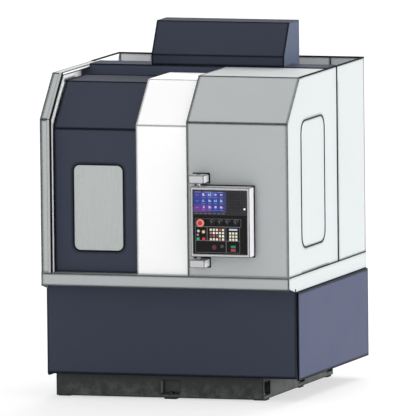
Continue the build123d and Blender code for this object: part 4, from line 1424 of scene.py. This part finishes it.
    def lamps(self) -> None:
        """Replaces the lamps, the key switch and the two square buttons."""
        bezels = Piece("lamp_bezels")
        for lamp, fitting in zip(Lamp, solid_blocks(self.nodes["push_buttons"])):
            name, finish = lamp.value
            piece = Piece(name)
            if lamp in (Lamp.START, Lamp.STOP):
                self.cap(piece, fitting, self.button_crown)
            elif lamp is Lamp.KEY:
                self.lock(piece, fitting)
            else:
                self.lens(piece, bezels, fitting)
            piece.settle(finish, self.body, Slot.BUTTON, ["push_buttons"])
        bezels.settle(BEZEL_GREY, self.body, Slot.BUTTON, ["push_buttons"])

    def lens(self, piece: Piece, bezels: Piece, fitting: Block) -> None:
        """Adds one domed lens and the ring that holds it.

        Args:
            piece: Piece that the lens goes into.
            bezels: Piece that the ring goes into.
            fitting: Box of the lamp.
        """
        radius = fitting.size.x / 2
        inner = radius - self.bezel_width
        rise = self.lens_rise
        piece.turned(self.lens_profile, fitting.seat(), scale=(inner, rise))
        bezels.turned([(radius, 0), (radius, rise * 0.3), (inner + 0.6 * MM, rise * 0.45),
                       (inner, rise * 0.4), (inner, 0)], fitting.seat(), open_ring=True)

    def lock(self, piece: Piece, fitting: Block) -> None:
        """Adds the key switch: a stepped barrel with its key left in.

        Args:
            piece: Piece that the switch goes into.
            fitting: Box of the switch.
        """
        radius = fitting.size.x / 2
        piece.turned([(radius, 0), (radius, 3 * MM), (radius * 0.7, 4 * MM), (radius * 0.62, 7 * MM),
                      (radius * 0.05, 7 * MM)], fitting.seat())
        bow = fitting.seat() @ Matrix.Translation((0, -3 * MM, 7 * MM))
        piece.block(2.4 * MM, 15 * MM, 16 * MM, bow, 1 * MM)

    def printed_frames(self) -> None:
        """Prints the thin lines that group the fittings of the lower panel."""
        lines, line = Piece("printed_frames"), self.line_width
        for left, top, right, bottom in self.print_frames:
            width, height = (right - left) * MM, (bottom - top) * MM
            outer = rounded_outline(width, height, 3 * MM, steps=3)
            inner = rounded_outline(width - 2 * line, height - 2 * line, 1 * MM, steps=3)
            lines.frame(outer, inner, self.skin, self.spot((left + right) / 2, (top + bottom) / 2))
        lines.settle(PRINT_GREY, self.body, Slot.FASCIA)


@dataclass
class PanelHinge:
    """Washers and end caps of the hinge pins, and the seals behind the housing and the brackets."""

    nodes: Nodes
    seal_reach: float = 9 * MM
    seal_depth: float = 3 * MM
    washer_width: float = 9 * MM
    washer_height: float = 4 * MM
    lid_margin: float = 40 * MM
    lid_corner: float = 12 * MM
    lid_height: float = 2 * MM
    lid_bevel: float = 1 * MM
    lid_screw_radius: float = 5 * MM
    lid_screw_inset: float = 14 * MM

    def build(self) -> None:
        """Makes the washers, the pin caps, the seals and the rear lid."""
        self.pins()
        self.housing_seal()
        self.bracket_seals()
        self.rear_lid()

    def seal(self, piece: Piece, low: Vector, high: Vector, y: float) -> None:
        """Adds one flat seal that looks to the front.

        Args:
            piece: Piece that the seal goes into.
            low: Its lowest corner.
            high: Its highest corner.
            y: Plane that it lies on.
        """
        outline = rounded_outline(high.x - low.x, high.z - low.z, 3 * MM, steps=3)
        middle = Vector(((low.x + high.x) / 2, y, (low.z + high.z) / 2))
        piece.plate(outline, self.seal_depth, placed(middle, Facing.FRONT))

    def housing_seal(self) -> None:
        """Edges the housing's rear by a rubber seal, flush on the side that turns past the cover."""
        housing = node_block("operator_panel_housing")
        reach = self.seal_reach
        ring = Piece("housing_seal")
        low, high = housing.low + Vector((GAP, 0, -reach)), housing.high + Vector((reach, 0, reach))
        self.seal(ring, low, high, housing.high.y - GAP)
        ring.settle(RUBBER, "operator_panel", Slot.RUBBER)

    def rear_lid(self) -> None:
        """Closes the housing's rear with a screwed lid."""
        housing = node_block("operator_panel_housing")
        width, height = housing.size.x - 2 * self.lid_margin, housing.size.z - 2 * self.lid_margin
        back = Vector((housing.middle.x, housing.high.y, housing.middle.z))
        lid, bevel = Piece("housing_rear_lid"), self.lid_bevel
        outer = rounded_outline(width, height, self.lid_corner)
        inner = rounded_outline(width - 2 * bevel, height - 2 * bevel, self.lid_corner - bevel)
        levels = [(outer, 0.0), (outer, self.lid_height - bevel), (inner, self.lid_height)]
        lid.stack(levels, placed(back, Facing.BACK))
        lid.settle(HOUSING_PAINT, "operator_panel", Slot.PALE)
        screws = Piece("housing_lid_screws")
        across, up = width / 2 - self.lid_screw_inset, height / 2 - self.lid_screw_inset
        for side in (-1, 1):
            for rise in (-1, 0, 1):
                offset = Vector((side * across, self.lid_height, rise * up))
                screws.screw(self.lid_screw_radius, 3 * MM, placed(back + offset, Facing.BACK))
        screws.settle(GROUND_STEEL, "operator_panel", Slot.BARE_STEEL)

    def bracket_seals(self) -> None:
        """Lays a rubber seal under each bracket's foot."""
        reach = Vector((self.seal_reach, 0, self.seal_reach))
        seals = Piece("bracket_seals")
        for bracket in solid_blocks(self.nodes["panel_brackets"]):
            self.seal(seals, bracket.low - reach, bracket.high + reach, bracket.high.y)
        seals.settle(RUBBER, "machine", Slot.RUBBER)

    def pins(self) -> None:
        """Makes the washers that ride on the panel and the caps on the outer pin ends."""
        housing = node_block("operator_panel_housing")
        washers = Piece("hinge_washers")
        caps = Piece("hinge_pin_caps")
        for pin in solid_blocks(self.nodes["panel_hinge_pins"]):
            radius = pin.size.x / 2
            upper = pin.middle.z > housing.middle.z
            face = housing.high.z if upper else housing.low.z
            facing = Facing.UP if upper else Facing.DOWN
            seat = placed((pin.middle.x, pin.middle.y, face), facing)
            outer, inner = radius + self.washer_width, radius + GAP
            ring = [(outer, 0), (outer, self.washer_height), (inner, self.washer_height), (inner, 0)]
            washers.turned(ring, seat, steps=40, open_ring=True)
            end = placed((pin.middle.x, pin.middle.y, pin.high.z if upper else pin.low.z), facing)
            rim = radius + 3 * MM
            profile = [(rim, 0), (rim, 1.2 * MM), (radius, 2.2 * MM), (1 * MM, 2.4 * MM)]
            caps.turned(profile, end, steps=40)
        washers.settle(GROUND_STEEL, "operator_panel", Slot.BARE_STEEL)
        caps.settle(SHOE_PLASTIC, "machine", Slot.SHOE)


@dataclass
class Base:
    """Levelling screws in the bed's pockets, and smooth, paler walls in the end pockets, as painted light in
    their shade.
    """

    openings: list[dict]
    screw_radius: float = 12 * MM
    nut_radius: float = 21 * MM
    nut_height: float = 12 * MM
    nut_bevel: float = 1.5 * MM
    thread_turns: int = 2
    thread_pitch: float = 3.2 * MM
    thread_depth: float = 1.3 * MM
    drop: float = 0.9 * MM
    margin: float = 1 * MM
    wall: float = 1.3 * MM

    def build(self) -> None:
        """Stands a screw and its nut in every pocket, and lines the pockets of both ends in a paler paint, as
        painted light.
        """
        screws = Piece("levelling_screws")
        walls = Piece("pocket_painted_light_linings")
        for opening in self.openings:
            if not opening["name"].startswith("levelling_pocket"):
                continue
            low, high = (Vector(corner) for corner in opening["box_m"])
            foot = Vector(((low.x + high.x) / 2, (low.y + high.y) / 2, low.z - self.drop))
            self.levelling_screw(screws, placed(foot))
            if high.x - low.x > high.y - low.y:
                self.lining(walls, (low + high) / 2, high - low)
        screws.settle(DARK_STEEL, "machine", Slot.BARE_STEEL)
        walls.settle(POCKET_PAINTED_LIGHT, "machine", Slot.DARK)

    def levelling_screw(self, piece: Piece, foot: Matrix) -> None:
        """Adds one levelling screw in its nut.

        Args:
            piece: Piece that the screw goes into.
            foot: Where the nut stands.
        """
        radius, nut, bevel = self.screw_radius, self.nut_height, self.nut_bevel
        hexagon = circle_outline(self.nut_radius, steps=24, sides=6)
        bevelled = circle_outline(self.nut_radius * 0.9, steps=24, sides=6)
        piece.stack([(bevelled, 0.0), (hexagon, bevel), (hexagon, nut - bevel), (bevelled, nut)], foot)
        thread = [(radius, 0.0)]
        for index in range(self.thread_turns):
            level = nut + index * self.thread_pitch
            thread += [(radius, level), (radius - self.thread_depth, level + self.thread_pitch / 2)]
        top = nut + self.thread_turns * self.thread_pitch
        thread += [(radius, top), (1 * MM, top + 1 * MM)]
        piece.turned(thread, foot, steps=24)

    def lining(self, piece: Piece, middle: Vector, room: Vector) -> None:
        """Lines the back and both cheeks of a pocket that opens to the front or to the rear, in a paler paint
        as painted light in the pocket's shade.

        Args:
            piece: Piece that the lining goes into.
            middle: Middle of the pocket.
            room: Width, depth and height of the pocket.
        """
        mouth = Vector((0, 1 if middle.y > 0 else -1, 0))
        walls = ((Facing.FRONT if middle.y < 0 else Facing.BACK, mouth, room.y, room.x),
                 (Facing.RIGHT, Vector((1, 0, 0)), room.x, room.y),
                 (Facing.LEFT, Vector((-1, 0, 0)), room.x, room.y))
        for facing, way, depth, width in walls:
            place = placed(middle - way * (depth / 2 + self.margin), facing)
            piece.plate(rounded_outline(width, room.z, 1 * MM, steps=2), self.wall, place)


@dataclass
class Enclosure:
    """Linings of the post, the left wall and the well, in white and pale paint as painted light, the post's
    edge, side sheets and the well's screws.

    The slope leans by 45 degrees. Behind the post's face the fold lies lower by the bend lift for each metre.
    """

    lining: float = 1.5 * MM
    post_width: float = 75 * MM
    post_return: float = 105 * MM
    post_proud: float = 22 * MM
    lining_fold: float = 0.4
    lining_end: float = 1.5
    flange_width: float = 21 * MM
    flange_depth: float = 3 * MM
    strip_width: float = 18 * MM
    strip_overlap: float = 0.5 * MM
    strip_depths: Pair = (-1 * MM, 3 * MM)
    seal_width: float = 11 * MM
    seal_depths: Pair = (0.5 * MM, 20 * MM)
    fold_seal: Pair = (3 * MM, 6 * MM)
    ledge_drops: Triple = (6 * MM, 17 * MM, 25 * MM)
    lip: float = 20 * MM
    bend_lift: float = math.tan(math.radians(22.5))
    foot_strip: float = 12 * MM
    ledge_reach: float = 190 * MM
    lining_drop: float = 300 * MM
    hood_upright: float = 79 * MM
    hood_slope_run: float = 150 * MM
    well_gap: float = 8 * MM
    screw_radius: float = 7 * MM
    screw_pitch: float = 300 * MM
    screw_insets: Pair = (40 * MM, 30 * MM)

    def build(self) -> None:
        """Makes the linings, the side sheets and the well's screws."""
        self.wall = node_block("left_side_wall")
        self.roof = node_block("roof_panel")
        self.well = node_block("well_cover")
        self.rear = node_block("rear_wall_panel")
        self.hood = node_block("column_hood")
        self.post_painted_light()
        self.post_seal()
        self.wall_lining()
        self.well_lining()
        self.hood_sides()
        self.deck_sides()
        self.well_screws()

    def side_sheet(self, piece: Piece, points: Outline, x: float, facing: Facing) -> None:
        """Lays a thin sheet on an upright plane that looks sideways.

        Args:
            piece: Piece that the sheet goes into.
            points: Outline of the sheet, as y and z.
            x: Where the plane stands.
            facing: Right or left.
        """
        turn = -1 if facing is Facing.LEFT else 1
        outline = [(turn * y, z) for y, z in points]
        piece.plate(outline, self.lining, placed((x, 0, 0), facing))

    def post_painted_light(self) -> None:
        """Lines the post's return with a white strip that ends square to the slope, as painted light on the
        post's inner side.
        """
        front, top, foot = self.wall.low.y, self.wall.high.z, self.wall.low.z + SHEET
        bend, end = top - SLOPE_RUN, front + SLOPE_RUN
        depth, proud = self.post_return, self.post_proud
        shift, reach = depth * self.bend_lift, depth / math.sqrt(2)
        near = proud / math.sqrt(2)
        points = [(front + proud, foot), (front + depth, foot), (front + depth, bend - shift),
                  (end + reach, top - reach), (end + near, top - near * self.lining_end),
                  (front + proud, bend - proud * self.lining_fold)]
        strip = Piece("post_painted_light")
        self.side_sheet(strip, points, self.post_edge(), Facing.RIGHT)
        high, middle, _ = self.ledge_drops
        self.ledge_strip(strip, middle, high)
        self.post_band(strip, (proud, proud + self.flange_depth), 0.0, self.flange_width)
        strip.settle(PAINTED_LIGHT_WHITE, "machine", Slot.PALE)

    def post_edge(self) -> float:
        """Gives the x of the post's right edge."""
        return self.wall.low.x + self.post_width

    def ledge_strip(self, piece: Piece, low: float, high: float) -> None:
        """Lays a strip beside the roof's ledge.

        Args:
            piece: Piece that the strip goes into.
            low: How far its lower edge lies under the wall's top.
            high: How far its upper edge lies under the wall's top.
        """
        top = self.wall.high.z
        start = self.wall.low.y + SLOPE_RUN + self.post_proud
        end = self.roof.low.y + self.ledge_reach
        points = [(start, top - low), (end, top - low), (end, top - high), (start, top - high)]
        self.side_sheet(piece, points, self.post_edge(), Facing.RIGHT)

    def post_band(self, piece: Piece, depths: Pair, left: float, right: float) -> None:
        """Runs a bar up the post's front and slope.

        Args:
            piece: Piece that the bar goes into.
            depths: How far its near and its far side lie behind the post's face.
            left: Its left side, from the post's right edge.
            right: Its right side, from there too.
        """
        near, far = depths
        front, top, foot = self.wall.low.y, self.wall.high.z, self.wall.low.z + SHEET
        bend, end = top - SLOPE_RUN, front + SLOPE_RUN
        lift, along = self.bend_lift, math.sqrt(2)
        outline = [(front + near, foot), (front + far, foot), (front + far, bend - far * lift),
                   (end, top - far * along), (end, top - near * along), (front + near, bend - near * lift)]
        piece.plate(outline, right - left, placed((self.post_edge() + left, 0, 0), Facing.RIGHT))

    def post_seal(self) -> None:
        """Widens the post by a painted strip and runs a rubber lip up behind it."""
        strip = Piece("post_edge_strip")
        self.post_band(strip, self.strip_depths, -self.strip_width, self.strip_overlap)
        strip.settle(PALE_STRIP_PAINT, "machine", Slot.PALE)
        seal = Piece("post_seal")
        self.post_band(seal, self.seal_depths, self.strip_overlap, self.strip_overlap + self.seal_width)
        length = self.strip_width + 1 * MM
        bend = self.wall.high.z - SLOPE_RUN
        fold = placed((self.post_edge() - length, self.wall.low.y - GAP, bend), Facing.RIGHT)
        seal.block(*self.fold_seal, length, fold, 0.6 * MM)
        _, middle, low = self.ledge_drops
        self.ledge_strip(seal, low, middle)
        seal.settle(RUBBER, "machine", Slot.RUBBER)

    def wall_lining(self) -> None:
        """Lines the upper inside of the left wall above the door in white, as painted light on that shaded
        face.
        """
        top = self.wall.high.z - self.lip
        front = self.wall.low.y + self.post_return + SHEET
        roof_front = self.roof.low.y + self.ledge_reach
        low, ledge = top - self.lining_drop, self.well.high.z + SHEET
        points = [(front + self.lining_drop, top), (front, low), (self.roof.low.y - SHEET, low),
                  (self.roof.low.y - SHEET, ledge), (roof_front, ledge), (roof_front, top)]
        sheet = Piece("left_wall_painted_light")
        self.side_sheet(sheet, points, self.wall.low.x + SHEET, Facing.RIGHT)
        sheet.settle(PAINTED_LIGHT_WHITE, "machine", Slot.PALE)

    def well_lining(self) -> None:
        """Lines the inside of the rear walls above the well, white on the sides and pale at the rear, as
        painted light in the well's shade.
        """
        low, top = self.well.high.z, self.wall.high.z - SHEET
        left, right = self.well.low.x, self.well.high.x
        front, back = self.well.low.y + self.well_gap, self.well.high.y
        sides = Piece("well_side_painted_light")
        points = [(front, low), (back, low), (back, top), (front, top)]
        self.side_sheet(sides, points, left, Facing.RIGHT)
        self.side_sheet(sides, points, right, Facing.LEFT)
        sides.settle(PAINTED_LIGHT_WHITE, "machine", Slot.PALE)
        rear = Piece("well_rear_painted_light")
        edges = (left, self.rear.low.x, self.rear.high.x, right)
        for near, far in zip(edges, edges[1:]):
            start, end = near + self.lining, far - self.lining
            middle = Vector(((start + end) / 2, back, (low + top) / 2))
            outline = rounded_outline(end - start, top - low, 1 * MM, steps=2)
            rear.plate(outline, self.lining, placed(middle, Facing.FRONT))
        rear.settle(PAINTED_LIGHT_PALE, "machine", Slot.PALE)

    def hood_sides(self) -> None:
        """Covers both sides of the column hood with a sheet each, in a lighter copy of its paint as painted
        light.
        """
        hood, roof, seam = self.hood, self.roof.high.z, self.roof.high.y
        points = [(hood.low.y, roof), (seam, roof), (seam, hood.low.z), (hood.high.y, hood.low.z),
                  (hood.high.y, hood.high.z), (hood.low.y + self.hood_slope_run, hood.high.z),
                  (hood.low.y, roof + self.hood_upright)]
        sheets = Piece("hood_side_painted_light_sheets")
        self.side_sheet(sheets, points, hood.high.x, Facing.RIGHT)
        self.side_sheet(sheets, points, hood.low.x, Facing.LEFT)
        sheets.settle(HOOD_PAINTED_LIGHT, "machine", Slot.DARK)

    def deck_sides(self) -> None:
        """Adds the deck's gussets at both front corners, its side sheets and the seals at their foot."""
        rail, side = node_block("front_deck_rail"), node_block("side_deck_rails")
        front, set_back, end = rail.low.y, node_block("front_skirt").low.y, side.high.y - GAP
        high, low, foot, rise = rail.high.z, rail.low.z, side.low.z, self.foot_strip
        gusset = [(front, low), (set_back, foot), (set_back, low)]
        band = [(front, low), (set_back, foot), (end, foot), (end, high), (front, high)]
        strip = [(front, low), (set_back, foot), (end, foot), (end, foot + rise), (set_back, foot + rise),
                 (front, low + rise)]
        runs = (("deck_gussets", gusset, -self.lining, PALE_PAINT, Slot.PALE),
                ("deck_side_sheets", band, 0.0, PALE_PAINT, Slot.PALE),
                ("deck_foot_seals", strip, self.lining, RUBBER, Slot.RUBBER))
        for name, outline, out, finish, slot in runs:
            sheets = Piece(name)
            self.side_sheet(sheets, outline, rail.high.x + out, Facing.RIGHT)
            self.side_sheet(sheets, outline, rail.low.x - out, Facing.LEFT)
            sheets.settle(finish, "machine", slot)

    def well_screws(self) -> None:
        """Holds the well's cover down with a row of screws along its front and its rear edge."""
        screws = Piece("well_cover_screws")
        inset_x, inset_y = self.screw_insets
        room = self.well.size.x - 2 * inset_x
        count = round(room / self.screw_pitch)
        for y in (self.well.low.y + inset_y, self.well.high.y - inset_y):
            for index in range(count + 1):
                x = self.well.low.x + inset_x + room * index / count
                if self.hood.low.x < x < self.hood.high.x and y < self.hood.high.y:
                    continue
                screws.screw(self.screw_radius, 5 * MM, placed((x, y, self.well.high.z)))
        screws.settle(GROUND_STEEL, "machine", Slot.BARE_STEEL)


@dataclass
class WallSeals:
    """Rubber strips in the walls' seams, round the hatches, over bare edges, in the well and on the door."""

    rise: float = 5 * MM
    seam_width: float = 17 * MM
    foot_width: float = 9 * MM
    hatch_front: float = 340 * MM
    hatch_foot: float = 195 * MM
    hatch_length: float = 610 * MM
    hatch_height: float = 986 * MM
    hatch_radius: float = 100 * MM
    hatch_overlaps: Pair = (3 * MM, 6.5 * MM)
    trim_width: float = 10 * MM
    trim_height: float = 12 * MM
    bead: float = 8 * MM
    bead_bevel: float = 1.5 * MM
    door_lip: Pair = (8 * MM, 10 * MM)
    door_lip_drop: float = 1 * MM
    door_lip_inset: float = 3 * MM
    door_lip_start: float = 30 * MM

    def build(self) -> None:
        """Makes the strips, the rings, the trims, the beads and the door's lip."""
        self.wall = node_block("right_side_wall")
        self.rear = node_block("right_rear_wall")
        self.seams()
        self.hatches()
        self.trims()
        self.well_corners()
        self.door_edge()

    def sides(self) -> tuple[tuple[Facing, float], ...]:
        """Gives both ways that the walls look, with the plane of each."""
        return ((Facing.RIGHT, self.wall.high.x), (Facing.LEFT, -self.wall.high.x))

    def seams(self) -> None:
        """Lays one strip into each upright seam and one along each wall's foot."""
        strips = Piece("wall_seam_seals")
        foot, top = self.wall.low.z, self.wall.high.z
        seam = (self.wall.high.y + self.rear.low.y) / 2
        length = self.rear.high.y - self.wall.low.y - self.rise
        for facing, x in self.sides():
            upright = rounded_outline(self.seam_width, top - foot, 3 * MM, steps=3)
            strips.plate(upright, self.rise, placed((x, seam, (foot + top) / 2), facing))
            level = rounded_outline(length, self.foot_width, 2 * MM, steps=3)
            middle = Vector((x, (self.wall.low.y + self.rear.high.y) / 2, foot))
            strips.plate(level, self.rise / 2, placed(middle, facing))
        strips.settle(RUBBER, "machine", Slot.RUBBER)

    def hatches(self) -> None:
        """Rings each access hatch with a strip over its gap."""
        rings = Piece("hatch_seals")
        over, under = self.hatch_overlaps
        outer, inner = (rounded_outline(self.hatch_length + 2 * reach, self.hatch_height + 2 * reach,
                                        self.hatch_radius + reach, steps=10) for reach in (over, -under))
        y = self.wall.low.y + self.hatch_front + self.hatch_length / 2
        z = self.wall.low.z + self.hatch_foot + self.hatch_height / 2
        for facing, x in self.sides():
            rings.frame(outer, inner, self.rise * 0.8, placed((x, y, z), facing))
        rings.settle(RUBBER, "machine", Slot.RUBBER)

    def trims(self) -> None:
        """Caps the bare upper edges of the side and rear sheets."""
        trims = Piece("edge_trims")
        width, height = self.trim_width, self.trim_height
        level = self.wall.high.z + SHEET - height / 2
        inner = self.wall.high.x - SHEET / 2
        end = self.rear.high.y - 2 * GAP
        runs = ((inner, self.wall.low.y + SLOPE_RUN), (-inner, self.wall.high.y + self.seam_width))
        for x, start in runs:
            place = placed((x, start, level), Facing.BACK)
            trims.block(width, height, end - start, place, self.bead_bevel)
        start = placed((-inner, self.rear.high.y - GAP - width / 2, level), Facing.RIGHT)
        trims.block(width, height, 2 * inner, start, self.bead_bevel)
        trims.settle(RUBBER, "machine", Slot.RUBBER)

    def well_corners(self) -> None:
        """Seals the well's corners, its rear foot and the joints of the rear wall above it."""
        well, panel = node_block("well_cover"), node_block("rear_wall_panel")
        foot, bead = well.high.z, self.bead
        back = panel.high.y - SHEET
        height = self.wall.high.z - foot - SHEET
        beads = Piece("well_seals")
        for x in (well.low.x + bead / 2, panel.low.x, panel.high.x, well.high.x - bead / 2):
            beads.block(bead, bead, height, placed((x, back - bead / 2, foot)), self.bead_bevel)
        start = placed((well.low.x, back - bead / 2, foot + bead / 2), Facing.RIGHT)
        beads.block(bead, bead, well.size.x, start, self.bead_bevel)
        beads.settle(RUBBER, "machine", Slot.RUBBER)

    def door_edge(self) -> None:
        """Wraps the door's rear upper edge and its left upper edge in a rubber lip."""
        door, end = node_block("door_leaf"), 2 * self.door_lip_inset
        level = door.high.z - self.door_lip_drop
        lip = Piece("door_rear_lip")
        start = placed((door.low.x + end, door.high.y, level), Facing.RIGHT)
        lip.block(*self.door_lip, door.size.x - 2 * end, start, self.bead_bevel)
        fold = self.wall.low.y + SLOPE_RUN + self.door_lip_start
        left = placed((door.low.x + self.door_lip_inset, fold, level), Facing.BACK)
        lip.block(*self.door_lip, door.high.y - fold, left, self.bead_bevel)
        lip.settle(RUBBER, "door", Slot.RUBBER)


@dataclass
class Chamber:
    """Screws of the chuck, its jaws and the turret, and the shanks of the tools."""

    nodes: Nodes
    screw_radius: float = 13 * MM
    screw_height: float = 10 * MM
    screw_circle: float = 200 * MM
    screw_angle: float = 26.0
    jaw_angles: tuple[float, ...] = (90.0, 210.0, 330.0)
    jaw_screws: Pairs = ((185 * MM, 42 * MM), (232 * MM, 60 * MM))
    cover_radius: float = 105 * MM
    cover_height: float = 12 * MM
    turret_screws: int = 8
    turret_circles: Pair = (80 * MM, 170 * MM)
    tool_radius: float = 14 * MM
    tool_shank: Pair = (24 * MM, 26 * MM)
    tool_foot: float = 12 * MM
    tool_reach: float = 46 * MM
    insert_size: Triple = (9 * MM, 9 * MM, 5 * MM)
    holder_reach: float = 70 * MM
    free_share: float = 0.9

    def build(self) -> None:
        """Makes the chamber's fasteners and tools."""
        self.chuck_fasteners()
        self.turret_fasteners()
        self.tools()

    def chuck_fasteners(self) -> None:
        """Puts mounting screws on the chuck's face between the jaws, and two on each jaw."""
        chuck = node_block("chuck_body")
        centre = Matrix.Translation((chuck.middle.x, chuck.middle.y, chuck.high.z))
        screws = Piece("chuck_screws")
        for jaw in self.jaw_angles:
            for side in (-self.screw_angle, self.screw_angle):
                turn = Matrix.Rotation(math.radians(jaw + side), 4, "Z")
                place = centre @ turn @ Matrix.Translation((self.screw_circle, 0, 0))
                screws.screw(self.screw_radius, self.screw_height, place)
            turn = Matrix.Rotation(math.radians(jaw), 4, "Z")
            for radius, level in self.jaw_screws:
                place = centre @ turn @ Matrix.Translation((radius, 0, level))
                screws.screw(self.screw_radius * 0.8, 4 * MM, place)
        screws.settle(DARK_STEEL, "machine", Slot.CHUCK_STEEL)

    def turret_fasteners(self) -> None:
        """Closes the turret's middle with a turned cover and two rings of screws."""
        turret = node_block("tool_turret")
        seat = placed((turret.middle.x, turret.low.y, turret.middle.z), Facing.FRONT)
        radius, height = self.cover_radius, self.cover_height
        cover = Piece("turret_cover")
        cover.turned([(radius, 0), (radius, height - 4 * MM), (radius - 7 * MM, height), (30 * MM, height),
                      (26 * MM, height / 2), (1 * MM, height / 2)], seat, steps=48)
        inner, outer = self.turret_circles
        for index in range(self.turret_screws):
            turn = Matrix.Rotation(math.tau * index / self.turret_screws, 4, "Z")
            cover.screw(8 * MM, 6 * MM, seat @ turn @ Matrix.Translation((inner, 0, height)))
            cover.screw(9 * MM, 6 * MM, seat @ turn @ Matrix.Translation((outer, 0, 0)))
        cover.settle(GROUND_STEEL, "machine", Slot.CHUCK_STEEL)

    def tools(self) -> None:
        """Stands a boring bar or a turning tool in each holder."""
        turret = node_block("tool_turret")
        tools = Piece("tool_shanks")
        inserts = Piece("tool_inserts")
        count = len(solid_blocks(self.nodes["tool_holders"]))
        reach = turret.size.x / 2 * math.cos(math.pi / count) + self.holder_reach
        for index in range(count):
            angle = math.tau * (index + 0.5) / count
            if abs(math.cos(angle)) > self.free_share:
                continue
            outward = Matrix.Rotation(angle + math.radians(90), 4, "Y")
            start = Matrix.Translation((0, 0, reach - self.tool_foot))
            foot = Matrix.Translation(turret.middle) @ outward @ start
            radius, length = self.tool_radius, self.tool_reach
            if index % 2:
                tools.turned([(radius * 1.5, 0), (radius * 1.5, 16 * MM), (radius, 18 * MM), (radius, length),
                              (radius * 0.7, length + 3 * MM), (1 * MM, length + 3 * MM)], foot)
            else:
                tools.block(*self.tool_shank, length, foot, 1.5 * MM)
            tip = foot @ Matrix.Translation((0, 6 * MM, length))
            inserts.block(*self.insert_size, tip, 1 * MM)
        tools.settle(DARK_STEEL, "machine", Slot.CHUCK_STEEL)
        inserts.settle(INSERT_GOLD, "machine", Slot.CHUCK_STEEL)


@dataclass
class Studio:
    """Camera, lamps, sky and floor."""

    target: Triple = (0.0369, 0.075, 1.4009)
    azimuth: float = 17.542
    elevation: float = 5.918
    roll: float = -0.6
    picture_width: float = 3.2243
    lens: float = 1500.0
    sensor: float = 36.0
    clip: Pair = (1.0, 400.0)
    sky: float = 0.875
    key: float = 2.6
    key_way: Triple = (-1.0, -0.06, -0.12)
    key_spread: float = 10.0
    top: float = 1.9
    top_way: Triple = (0.0, -0.66, -0.75)
    top_spread: float = 30.0
    floor_radius: float = 60.0
    floor_drop: float = 1 * MM

    def build(self) -> None:
        """Makes everything round the machine."""
        self.camera()
        self.lamp("key_lamp", self.key, Vector(self.key_way), self.key_spread)
        self.lamp("top_lamp", self.top, Vector(self.top_way), self.top_spread)
        self.world()
        self.floor()

    def camera(self) -> None:
        """Places a long lens on the photograph's line of sight."""
        turn, rise = math.radians(self.azimuth), math.radians(self.elevation)
        back = Vector((math.sin(turn) * math.cos(rise), -math.cos(turn) * math.cos(rise), math.sin(rise)))
        data = bpy.data.cameras.new("camera")
        data.lens = self.lens
        data.sensor_width = self.sensor
        data.clip_start, data.clip_end = self.clip
        camera = bpy.data.objects.new("camera", data)
        bpy.context.scene.collection.objects.link(camera)
        camera.rotation_mode = "QUATERNION"
        camera.location = Vector(self.target) + back * (self.picture_width * self.lens / self.sensor)
        level = (-back).to_track_quat("-Z", "Y").to_matrix()
        tilt = Matrix.Rotation(math.radians(self.roll), 3, "Z")
        camera.rotation_quaternion = (level @ tilt).to_quaternion()
        bpy.context.scene.camera = camera

    def lamp(self, name: str, strength: float, way: Vector, spread: float) -> None:
        """Adds a wide sun lamp.

        Args:
            name: Name of the lamp.
            strength: Light that falls on a face turned towards it.
            way: Direction that the light travels.
            spread: Angle that the lamp fills, in degrees.
        """
        data = bpy.data.lights.new(name, "SUN")
        data.energy = strength
        data.angle = math.radians(spread)
        lamp = bpy.data.objects.new(name, data)
        lamp.rotation_mode = "QUATERNION"
        lamp.rotation_quaternion = way.to_track_quat("-Z", "Y")
        bpy.context.scene.collection.objects.link(lamp)

    def world(self) -> None:
        """Makes an even sky that looks white where it is seen or mirrored."""
        world = bpy.data.worlds.new("studio")
        world.use_nodes = True
        world.node_tree.nodes.clear()
        sketch = NodeSketch(world.node_tree)
        sky, white = sketch.add("ShaderNodeBackground"), sketch.add("ShaderNodeBackground")
        sky.inputs["Strength"].default_value = self.sky
        for background in (sky, white):
            background.inputs["Color"].default_value = PLAIN_WHITE
        output = sketch.add("ShaderNodeOutputWorld")
        mixed = sketch.layer(sketch.seen(), sky.outputs[0], white.outputs[0])
        sketch.feed(output.inputs["Surface"], mixed)
        bpy.context.scene.world = world

    def floor(self) -> None:
        """Lays a wide round floor just under the feet."""
        mesh = bpy.data.meshes.new("floor")
        outline = circle_outline(self.floor_radius, steps=96)
        mesh.from_pydata([(x, y, -self.floor_drop) for x, y in outline], [], [range(len(outline))])
        floor = bpy.data.objects.new("floor", mesh)
        mesh.materials.append(FloorFinish("studio_floor").material())
        bpy.context.scene.collection.objects.link(floor)


def main() -> None:
    """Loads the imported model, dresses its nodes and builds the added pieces."""
    logging.basicConfig(level=logging.INFO, format="%(name)s: %(message)s")
    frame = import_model()
    bpy.context.scene.view_settings.view_transform = "Standard"
    Studio().build()
    for finish, nodes in NODE_FINISHES.items():
        for name in nodes:
            dress(frame["nodes"][name], finish)
            LOG.info("dressed %s in %s", name, finish.name)
    Base(frame["record"]["physics"]["openings"]).build()
    Enclosure().build()
    WallSeals().build()
    Chamber(frame["nodes"]).build()
    PanelHinge(frame["nodes"]).build()
    OperatorPanel(frame["nodes"]).build()


if __name__ == "__main__":
    main()
